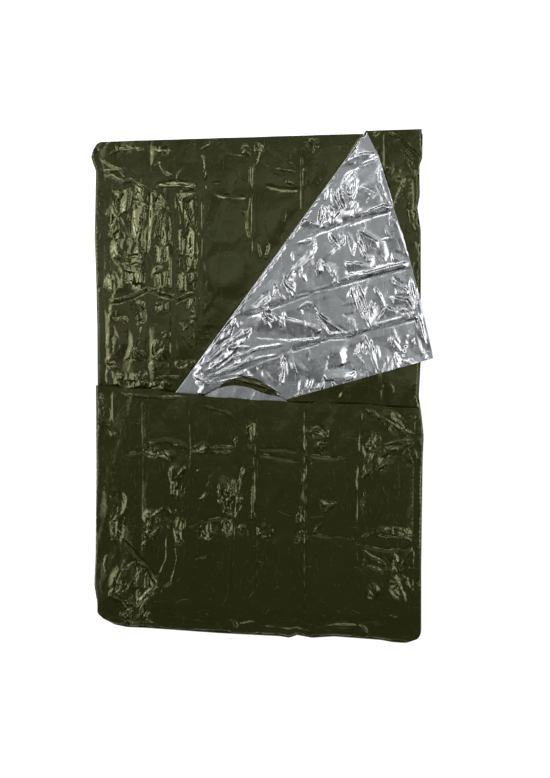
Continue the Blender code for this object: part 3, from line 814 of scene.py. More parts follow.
# %% Creases of the front
lay(FRONT_PART,
    puff=0.0004, calm=0.18, facet_edge=0.003,
    upright=(141.5, 188, 236, 246, 256, 305, 359, 413), level=(452, 530, 620),
    ridges="""
-0.35 3 3 141,398 141,430 142.5,452 142,480 141.5,520 141,560 142,596
-0.4 3 3 188,400 189,430 189.5,449 188,480 186,520 184,560 182.5,600
-0.5 3 3 237,404 237,448 236,470 235,500 233.5,530 232,570 231,610
-0.4 3 3 245.5,406 246,440 246,470 246,500 246,530
-0.6 3 3 255.5,406 256,440 256.5,470 256,530 256,600
-0.7 3 3 305,408 305,433 305,456 306,480 305.5,510 305.5,533 305,560 305,600 305,632
-0.4 3 3 361,412 361,428 360,455 359,480 358,510 357.5,540 359,570 360,600
-0.5 3 3 413,420 413,445 413,480 413,520 412.5,545 413,575 414,600
-1.2 4 4 122.5,454 142.5,451.7 158,459
1.5 8 6 142.5,451.7 151.7,443.3 165,440.8 178,443.3 186.7,447.5 189,449
1.8 6 6 142.5,452 155,455 168,459 175,455
1.2 5 5 189.5,449 198,446 205,444 207,447 206,451 192,451
1.0 5 5 208,449 218,446.3 233,446.7 236.5,448
1.0 5 5 209,451 222,452.5 235,451
1.5 4 4 231.7,443 237,438 236,448
1.2 4 4 245.8,428 254,424 253,443
1.0 3 3 246,428 247,440
1.0 4 4 97.5,391 102.5,395 105,403
1.3 5 5 99,413 107,424 111,426
0.8 4 4 111,426 100,424
0.25 4 4 113,390 113,423
2.0 9 7 187,466 175,478 173,492 177,500
1.0 4 4 195,473 202,468
0.8 5 5 198,500 212,492
2.5 9 7 233,478 234,492 227,502 224,515
1.8 6 6 242,468 241,485 237,505
0.9 3 3 253,455 254,475 253,500 252,520
1.2 5 5 110,493 116,512 113,520
1.0 4 4 122,507 119,516
1.5 6 6 147,520 158,513 165,506
1.2 5 5 163,505 170,512 172,516
1.5 6 6 113,515 112,530 117,537 121,533
1.2 4 4 110,540 114,539 116,545
1.2 5 5 145,530 155,528 160,527 153,534 143,536
1.2 4 4 140,547 148,539
1.5 5 5 175,518 185,520 184,540 177,543
0.7 3 3 175,543 177.5,558 175,570 172,582 164,587 160,598
0.7 3 3 167,532 167,558 163,567 159,578
-1.5 6 6 121,537 135,553 148,567 158,582
0.7 3 3 150,535 157,552 160,553
1.6 5 5 136.7,561 147.5,567.5 157.5,585 149,591 136.7,605 126,603 110,596 116,588 122.5,570
 136.7,561
1.3 3 3 149,569 149,591
1.0 3 3 151,573 157.5,585
1.5 3 3 122.5,570 116,593
1.0 3 3 127,573 124,590
1.5 4 4 135,607 115,615
1.6 4 4 135,607 123,623
1.6 4 4 149,592 148,610 142,622
1.3 3 3 149,592 136,620
1.0 3 3 140,570 133,580 130,600
0.7 3 3 108,552 105,565 109,578
-1.0 4 4 186,527 200,522 223,517.5 233,512.5
1.0 4 4 235,531 241,526 248,529
0.8 4 4 235,532 242,535 248,534
1.2 4 4 200,531 206,535 205,538
1.2 4 4 212,533 214,538 217,536
1.2 4 4 223,520 232,522 229,526 224,530
0.9 3 3 195,560 205,557 212,553
1.5 4 4 257,535 263,530 270,526
1.0 3 3 122,393 140,396 158,397 180,397 188,399
1.0 3 3 202,398 203,401
1.0 3 3 213,401 216,398
0.5 8 8 200,405 225,412 236,420
1.3 3 3 305,430 303,445 306,455 302,462 305,467
1.0 3 3 303,467 302.5,488 301.5,508
1.5 4 4 300,508 297,518 299,525
1.0 5 5 307,430 318,427 328,436
1.2 4 4 309,430 320,434 327,436
1.3 4 4 317,450 322,446 327,445
-1.2 4 4 306,455 322,457 337,457.5 346,457
-0.9 4 4 257,454 280,458 300,462
-0.5 4 4 257,449 270,449 285,449 298,452
1.2 3 3 361.5,410 361,425
1.8 6 4 364,409 376,415 387,420 400,431 413,434
1.0 3 3 375,414 388,423 395,430
1.2 3 3 395,420 402,428 400,431
0.8 3 3 405,415 412,418 417,414
1.3 3 3 378,432 372,433 370,442 367,445 374,446 369,457 366,462
1.0 3 3 378,432 380,440 377,450
1.8 4 4 412.5,442 397,447 387,452.5 378,458 372,468 364,479
1.2 3 3 412,439 398,441 385,445 383,452 376,455 371,465 363,477 361,470
1.0 3 3 413,443 420,437
0.8 3 3 415,430 421,428
0.8 3 3 414,458.5 422,458.5
1.0 3 3 413,450 411,455 404,460 408,462
1.0 3 3 357.5,463 355,482 357,493
0.8 3 3 357,498 356,525
1.3 3 3 366,493 363,500 361,513
0.8 5 5 320,505 325,510 336,503
-0.7 3 3 307,533 327,537 342,536 355,540
1.3 3 3 313,532 319,526 325,522
1.2 3 3 291,542 297,540 303,541
1.3 3 3 296,535 302,531 304,537
1.3 4 4 350,537 357,541
1.2 4 4 358,540 363,536 380,530 397,532 411,541
-1.0 4 4 360,544 372,548 388,551 405,549 412,545
1.0 3 3 380,530 393,529 409,527.5
1.2 4 4 395,531 400,534 406,535
1.2 3 3 412.5,545 402,563 400,570
0.8 3 3 412.5,545 412,572
0.8 3 3 412.5,545 420,550
1.2 3 3 393,552 397,562 400,560
1.5 4 4 362,548 370,555 387,564
1.1 4 4 364,565 375,568 385,572
-1.3 4 4 392,552 395,567 400,578 410,592
1.2 3 3 402,577 411,591 411.5,578
1.0 3 3 413,582 419,587 418,597
1.2 3 3 387,582 398,583 403,597 407,604
1.2 3 3 392,587 400,598
0.9 3 3 367,585 375,597
0.6 4 4 380,612 395,616 405,616
-0.3 6 6 255,626 280,628 305,631 325,627 360,627
0.9 3 3 358,623 365,628 370,636
0.8 3 3 229,617 236,622 240,630
0.8 3 3 236,622 250,619 258,621
-0.4 5 5 100,612 150,622 185,628 230,631 255,633
""",
    patches="""
119 506 8 16 0 0.8
117 526 6 14 0 0.9
152 450 9 7 0 0.9
168 455 8 5 0 0.9
178 480 7 15 20 0.9
152 524 11 14 0 0.9
170 515 8 9 0 0.6
180 530 6 14 0 0.8
228 498 8 20 15 0.9
240 487 4 18 0 0.7
250 435 5 12 0 0.7
253 480 3 40 0 0.5
207 530 12 9 0 0.9
228 527 6 11 0 0.9
241 531 8 6 0 0.6
301 517 5 10 0 0.8
303 455 4 30 0 0.5
302 536 6 8 0 0.8
317 433 11 7 0 0.7
320 448 6 6 0 0.8
133 585 22 24 0 0.9
136 612 18 12 0 0.8
372 452 10 20 30 0.6
395 424 16 9 -30 0.7
408 457 6 8 0 0.8
365 503 4 10 0 0.6
375 562 14 10 -20 0.6
400 566 10 14 0 0.5
397 590 9 10 0 0.5
372 590 6 8 0 0.6
392 532 20 5 0 0.6
412 420 8 10 0 0.6
102 415 8 14 0 0.4
265 530 8 6 0 0.6
""",
    facets="""
1.5 143,451 151,444 158,448 156,456
1.2 156,449 172,454 169,458 158,456
2 190,450 205,444 207,448 205,451 195,452
1.5 232,444 237,438 238,446 236,450
1 246,436 249,428 254,424 254,443 247,446
1.2 187,465 182,476 174,478 177,471
1.3 173,482 177,480 178,497 173,497 171,490
1.5 178,481 184,485 181,481
0.7 252,457 256,456 255,480 253,520 251,520
1.8 233,480 235.5,478 235,490 232,510 227,508 231,490
0.8 218,500 224,488 230,484 226,500 220,504
1 240,470 243,465 245,470 242,490 239,503 237,498
1.2 237,502 242,495 243,505 238,512
1.5 113,521 119,518 121,535 114,537
1 115,508 119,506 120,512 114,514
2 147,515 158,509 161,513 152,516
2 146,524 146,518 152,518 151,524
1.2 154,516 157,515 159,523 156,523
1.5 142,529 147,527 150,531 145,535
1.5 149,534 153,528 161,527 156,534
1 140,547 147,539 146,543
1.2 164,504 168,508 172,513 169,513
1.5 166,523 168,521 170,528 168,529
1.5 175,516 181,517 179,524
1.6 174,529 184,528 184,541 176,543
1.2 198,527 202,525 201,530
1.3 198,538 205,529 206,536 200,539
1.5 210,538 215,532 216,537
1.2 222,522 226,519 230,535 222,530
2.5 223,517 232,512 232,515 226,518
1 230,519 233,521 232,530
1 222,500 231,497 232,510 224,510
1.2 121,573 124,580 121,590 112,595
1.8 147,568 157,585 150,590
1 143,575 147,572 148,590 143,588
0.4 133,575 145,567 140,580 136,590
1 126,603 136,590 133,600
1.5 113,616 135,606 121,614
2 121,624 126,615 134,608 128,624
2 134,618 148,600 150,594 146,612 142,622
0.8 305,430 328,430 328,437 318,435
1 314,444 331,440 325,443
1 317,453 318,446 324,446
0.7 309,459 314,460 312,468
1.6 300,508 303,500 305,515 303,520 298,523
1.5 301,525 305,524 304,528
1.6 296,538 302,534 305,538 300,540
1 290,543 295,541 305,541 302,544
1 290,550 298,545 294,549
1.6 256,534 262,529 270,526 264,531
1.2 312,532 319,526 326,521 318,529
1.6 351,537 356,540 357,543 354,542
1.2 360,538 365,534 362,540
1.2 366,409 380,415 386,420 382,420
1.2 384,417 393,424 398,431 388,423
0.6 389,417 401,420 403,430 398,430
2 402,420 405,430 400,433 399,428
1.5 405,428 413,434 404,432
1.2 370,441 376,432 380,433 377,441 371,446
1.5 366,447 371,444 376,451 368,452
1.2 366,456 370,450 374,452 370,463 366,466
1 361,479 363,466 368,460 364,478
1.8 361,479 372,468 379,457 384,451 376,463 368,475
1.5 384,447 399,446 412,442 396,450 386,452
0.5 375,470 390,452 396,458 380,470
1 403,458 409,448 413,455 408,461
1 363,491 367,493 366,500 363,512 361,510
1.3 380,530 386,526 395,528 384,531
2 395,532 399,530 406,535 398,535
1.2 360,549 372,555 387,564 380,563 366,555
0.8 365,565 380,570 385,572 380,573
1.2 393,553 397,556 400,562 395,562
1.2 398,566 403,563 402,570 399,571
1.2 390,570 393,566 396,572 391,573
0.8 403,565 411,548 412,552 405,564
0.6 400,575 411,578 411,592
1 413,581 420,582 420,588
1 386,580 398,582 391,584
2 399,586 403,594 407,604 402,601
1 388,588 398,601 394,597
1 98,392 103,395 105,404 101,400
0.8 101,405 106,420 111,426 105,424
0.4 103,428 120,434 110,437
0.8 320,500 337,502 326,506 321,509
0.8 414,440 422,432 422,440 416,447
""",
)

# %% [markdown]
# The upper part is the layer that the corner and the front partly cover. Its left half is
# crumpled in upright panels between its folds, and its right half is almost smooth.

# %% Creases of the upper part
lay(UPPER_PART,
    puff=0.001, calm=0.4, facet_edge=0.003,
    upright=(105, 149, 174, 200, 251, 302), level=(188, 296, 363),
    ridges="""
-0.4 5 5 103,146 105,189 106,230 104,262 103,300 105,340 106,385
-0.4 6 6 149.6,144 149.6,189 149,230 147,262 147,288 148,330 147.9,386
-0.4 4 4 175.3,150 175.4,183
-0.4 4 4 174,190 174,230 173,262 172,300 172,345 172.5,390
-0.4 4 4 176.5,262 176.5,298
-0.4 5 5 201.4,188 201.6,232 199,262 197.5,295 197.5,352
-0.8 4 4 251.4,158 251.2,193 251.4,262
-0.9 4 4 302,145 302,188 302,212
0.8 3 3 116,144 120,150.5 111,155.5
1.0 3 3 143.6,154 148,147 149,155
0.8 3 3 175,150 175.5,161
0.7 3 3 152,165.6 160,164 165,173 172,176 176,180
0.6 3 3 183.6,165.6 176.4,180.6
0.9 3 3 190,140.6 196,146 199,150.6
1.0 3 3 204,139 211,142 216,143 223,143
1.0 3 3 198.6,152.7 203.6,148.4 211,144.6 216,143.4
0.6 3 3 199,153 205,159 205.7,169 202,176
1.0 3 3 205,169 207,175 204,181
0.8 3 3 223.6,146 224,151 229,154 239,156 251,158.4
1.2 3 3 246.4,145.6 245,150.6 243,153.4 250,154 244,157
0.9 3 3 255,140.6 255.7,150.6 263.6,152 265,150.6 260,145.6 255.7,142
0.8 3 3 255,157 262,164 272,168.4 281,170 295,172 297,170
0.3 3 3 264,145 280,158 298,168
1.3 3 3 288,176 285.7,179 287,182 292,183.4 301.4,188.4
1.0 3 3 293.6,146 296.4,152.7
1.0 3 3 304,139 309,139 316.4,141 318,146 310.7,144
0.9 3 3 308.6,146 313.6,151 311.4,155.6
0.8 4 4 303,188.4 313.6,185.6 320,181
-0.8 4 4 289,190.6 302,189
-0.7 5 5 263.6,185 280.7,189 300.7,190.6
0.9 3 3 252,160.6 250,169 250,182 251.4,189
0.9 3 3 254.3,160.6 253.6,175 252,190.6
0.9 3 3 250,196 247,212 247,229 251.4,242
0.9 3 3 252,196 252,218 251.4,242
1.2 3 3 243.6,205 244,217.7
0.9 3 3 234,170 249,183.4
0.9 3 3 233,160.6 237,170.6
0.9 3 3 225,180.6 228,182.7 223.6,184
-0.6 4 4 208,183.4 223.6,182
-0.4 5 5 203.6,189 223.6,196 249,197.7
1.0 3 3 204,183 207,187 206,193
0.9 3 3 202.5,198 202.5,232
0.7 4 4 286.4,209 283.6,220.6 281.4,223.4
0.6 4 4 263.6,217.7 266.4,230.6 269,235
0.8 3 3 258.6,237.7 259,246 261.4,260.6
0.8 3 3 263.6,237.7 268.6,245 265,260.6
0.7 3 3 309,170.6 318,166 325,167.7
0.5 3 3 244,241 251,242
1.4 4 4 100.7,141 101.4,147.7 95,149 91.4,153.4 94.3,154.9
0.6 4 4 103.6,156 112,165.6 122,170.6 126.4,177.7
1.6 4 4 103.6,175 113.6,176.3 123.6,182.7 130.7,179.9 138.6,185.6 149.3,189.9
1.0 3 3 96.4,171 103.6,169.9 110.7,171 120.7,169.9 127.9,179
1.0 3 3 95.7,172 96.4,189 103.6,206
-1.5 5 5 110.7,195 119,216 129,235 138,245
-1.5 6 6 130.7,185 128,217.7 126.4,229
-1.8 7 7 150.7,189 148,217.7 146.4,255
-1.2 4 4 156.4,190.6 160.7,202 172,213.4
-1.2 6 6 176.4,193.4 183.6,217.7 185,232
1.3 3 3 152,202 159,205 172,212
1.0 3 3 152,189 160.7,200.6
1.4 4 4 156.4,206 160,217.7 156.4,232 153.6,242
1.3 3 3 168.6,217.7 170.7,232 172,237.7
1.0 3 3 132,200.6 146.4,206 147.9,212
1.6 4 4 140.7,212 143.6,232 143.6,253.4
1.2 4 4 132,212 129,223.4 130.7,235
1.2 3 3 123.6,209 117.9,220.6 110.7,237.7
1.1 3 3 176.4,192 182,202 199,190.6
1.0 3 3 183.6,203.4 189,220.6 199,232
1.0 3 3 195,212 189,220.6 185,229
-1.2 3 3 150.7,187.7 159.3,183.4 173.6,181.3 187.9,182.7 199.3,186.3
1.2 3 3 152,188.9 160.7,186.6 175,186.6 185,187.3 197.9,188.7
1.4 4 4 111.4,255.7 120.7,265 126.4,277.9 122,283.6
-1.0 4 4 106.4,257.9 103.6,269.3 96.4,270.7
1.2 3 3 119.3,263.6 129.3,265 145,263.6
1.2 3 3 120.7,257.9 142,259.3
1.3 3 3 170.7,255 170.7,290.7
1.5 4 4 106.4,299.7 119.3,299.7 133.6,295.4 147.9,287.6 160.7,292.6 174.3,296 176.4,299.7 187.9,294
 197.9,291.9
-1.2 4 4 106.4,303 119.3,303 133.6,298.6 147.9,291 160.7,296 174.3,299.4 176.4,303 187.9,297.4
 197.9,295.3
1.2 3 3 133.6,299.3 145,307.9 146.4,312
1.3 3 3 108.6,307.9 113.6,312 110.7,316.4 119.3,319.3 127.9,320.7
1.0 3 3 97.9,319.3 103.6,317.9
1.6 4 4 180.7,333.6 190.7,323.6 194.3,320.7
1.3 4 4 187.9,342 195,332
0.8 3 3 113.6,322 119.3,336.4 117.9,360.7
0.9 3 3 143.6,323.6 139.3,340.7 126.4,360.7
-1.2 10 10 128,326 128,345 122,362
1.3 3 3 134.3,350.7 142,349.3 146.4,359.3
-1.0 3 3 134.3,352.4 147.9,360.3 153.6,361
-1.0 4 4 105.7,365 119.3,366.4
1.3 3 3 177.9,365 187.9,361.4 196.4,360
0.9 3 3 173.6,357.9 183.6,352
1.1 3 3 150.7,379.3 165,376.4 172,376.4 185,377
1.0 3 3 97.9,376.4 103.6,372.9
1.0 3 3 196.4,295 193.6,302 195,319
1.0 3 3 199.3,296 202,303.6
""",
    patches="""
130 149 12 4 0 0.5
162 151 12 4 0 0.6
211 142 8 3 0 0.6
98 148 5 6 0 0.6
102 199 4 7 0 0.9
115 200 7 8 0 0.9
112 217 5 10 0 0.9
117 237 8 9 0 0.9
130 244 11 12 0 1.0
138 222 9 21 0 1.0
99 215 4 7 0 0.8
102 240 3 12 0 0.7
163 228 9 20 0 0.9
168 250 6 11 0 0.9
188 203 12 14 0 0.8
191 242 9 19 0 1.0
246 151 5 6 0 0.8
281 172 7 4 0 0.5
305 178 4 9 0 0.5
311 147 9 9 0 0.6
135 278 11 11 0 1.0
110 286 5 13 0 0.9
98 283 3.5 10 0 0.8
162 280 10 14 0 1.0
188 263 11 10 0 1.0
182 287 4 5 0 0.7
191 286 4 5 0 0.8
138 307 9 7 0 0.8
113 313 7 7 0 0.7
141 316 6 6 0 0.9
163 307 8 6 0 0.9
189 305 6 6 0 0.7
193 317 5 4 0 0.8
186 330 8 9 30 0.6
192 340 5 8 20 0.6
111 345 5 17 0 0.5
166 334 5 3.5 0 0.9
162 349 10 10 30 0.9
139 354 7 6 0 0.7
112 361 7 5 0 0.8
129 361 4 3 0 0.8
112 376 7 10 0 0.9
131 381 18 7 0 1.0
144 376 5 5 0 0.9
161 386 13 5 0 1.0
166 366 6 4 0 0.8
153 366 5 5 0 0.7
185 364 12 4 0 0.7
208 330 9 4 0 0.5
204 343 7 5 0 0.5
205 300 4 20 0 0.3
""",
    facets="""
1 132,200 146,206 144,224 139,245 128,232 127,220
1.2 123,232 135,242 142,252 139,255 121,255 118,246
1.3 108.6,208 118,218 111,232 108.6,231
1 111,189 124,193 117,206 111,198
1.4 158,208 161,218 159,229 154,242 153.6,236
0.8 162,212 169,216 168,232 161,241 159,235
0.7 178,191 199,191 182,201
0.7 185,203 198,195 199,218 196,229 189,219
1.5 184,241 191,223 198,235 198,255 185,255
1.3 165,246 171,243 171,261 164,261
0.8 99,212 103,212 103,232 100,235 98,218
1 119,145 145,149 142,152 121,148
1 151,146 174,149 171,155 156,151
1.5 92,151 100,143 99,149 92,153
0.5 131,181 150,189 146,205 134,196
1.2 126,271 145,273 144,284 131,285 125,282
1.2 154,273 169,271 166,288 155,288
1.4 185,255 196,258 196,269 188,271 184,264
1 190,282 196,282 195,289
1 106,275 114,279 114,293 106,288
1 96,273 100,275 99,287 96,289
1.2 132,299 146,302 145,309 136,305
1.3 108,306 115,312 112,316 107,312
1.3 112,316 128,317 128,323 119,321
1.3 135,315 145,310 145,318 136,325
1.6 155,305 169,303 169,310 156,311
1 188,298 196,298 194,305 186,309
1.2 189,315 196,315 195,319 190,319
1.4 181,334 191,322 192,324 185,332
1.4 188,338 195,332 194,338 191,339
1.2 162,334 169,332 165,338
1.6 155,351 169,341 165,349 156,359
1 135,349 146,348 146,355
0.5 111,338 118,338 117,355 111,354
0.9 106,361 116,359 118,365
1.4 126,359 132,359 131,362
0.7 107,368 125,375 116,378 119,386 108,385
1.4 117,379 148,381 145,388 121,386
1 148,388 165,382 165,389
1.5 176,366 196,360 194,363 182,368
0.8 139,375 146,369 146,378
1 159,371 166,365 165,369
0.6 108,205 118,196 121,230 112,238
0.6 120,190 131,188 128,212 121,214
0.6 108,242 120,238 124,258 110,262
0.6 128,256 144,250 144,266 130,266
0.6 178,204 184,202 184,226 179,222
0.6 177,228 183,230 183,256 177,252
0.6 154,244 163,248 163,264 155,262
0.6 116,272 124,270 124,288 117,288
0.6 175,272 186,274 186,292 176,290
0.6 188,272 198,272 198,281 189,281
0.6 153,202 160,194 168,206 160,210
1.5 90,143 97,140 99,149 92,155
1.2 91,158 97,153 97,163 93,164
""",
)

# %% [markdown]
# The strip at the right is what shows of the layer from which the corner was turned back. A
# packing fold runs down it, and a few creases fan out from where the corner's fold begins.

# %% Creases of the strip
lay(STRIP_PART,
    puff=0.0008, calm=0.5, facet_edge=0.003, scale=(1.35, 1),
    upright=(384,), level=(170, 240),
    ridges="""
-0.8 4 4 384,131 385,170
1.2 3 3 385.8,131.7 398.3,139 410,150 420.8,160.8
1.0 3 3 399,149 406.7,158.3 416.7,168.3
0.8 3 3 417.5,165.8 414,175 415,195 419,220
0.8 3 3 405.8,159 414,176.7
1.0 3 3 396.7,175 398.3,180 410,178.3 405,186.7 396.7,201.7
0.8 3 3 407.5,181.7 398.3,195 395,208.3
1.2 3 3 385,168.3 388.3,173.3 390,181.7
1.0 3 3 371,131 378,132.5 374,138
1.0 3 3 412.5,206.7 410,218 414,230 418,229
1.0 3 3 395,203 397.5,210
0.8 3 3 412.5,236.7 415,248 420,258
1.0 3 3 413,274 419,270
0.8 3 3 380,382 393,383
""",
    patches="""
379.5 151 3 5 0 0.7
387 174 3 7 0 0.7
413 212 4 10 0 0.7
416 267 5 5 0 0.7
403 185 8 14 20 0.4
386 390 8 8 0 0.3
""",
    facets="""
1.2 385,132 398,139 396,141
1 408,150 421,160 417,162
0.8 397,176 410,178 405,187
0.8 398,196 407,182 396,208
1.2 386,169 390,175 388,181
1 413,207 419,213 415,222
1 371,131 379,133 374,138
""",
)

# %% [markdown]
# The turned-back corner shows the silver side, which lights up at the least slope, so it needs
# the most ridges. Packing folds cross it on a slant. Strong folds fan out from its lower left
# end, where the front holds it down, and there a lens-shaped opening shows olive film.

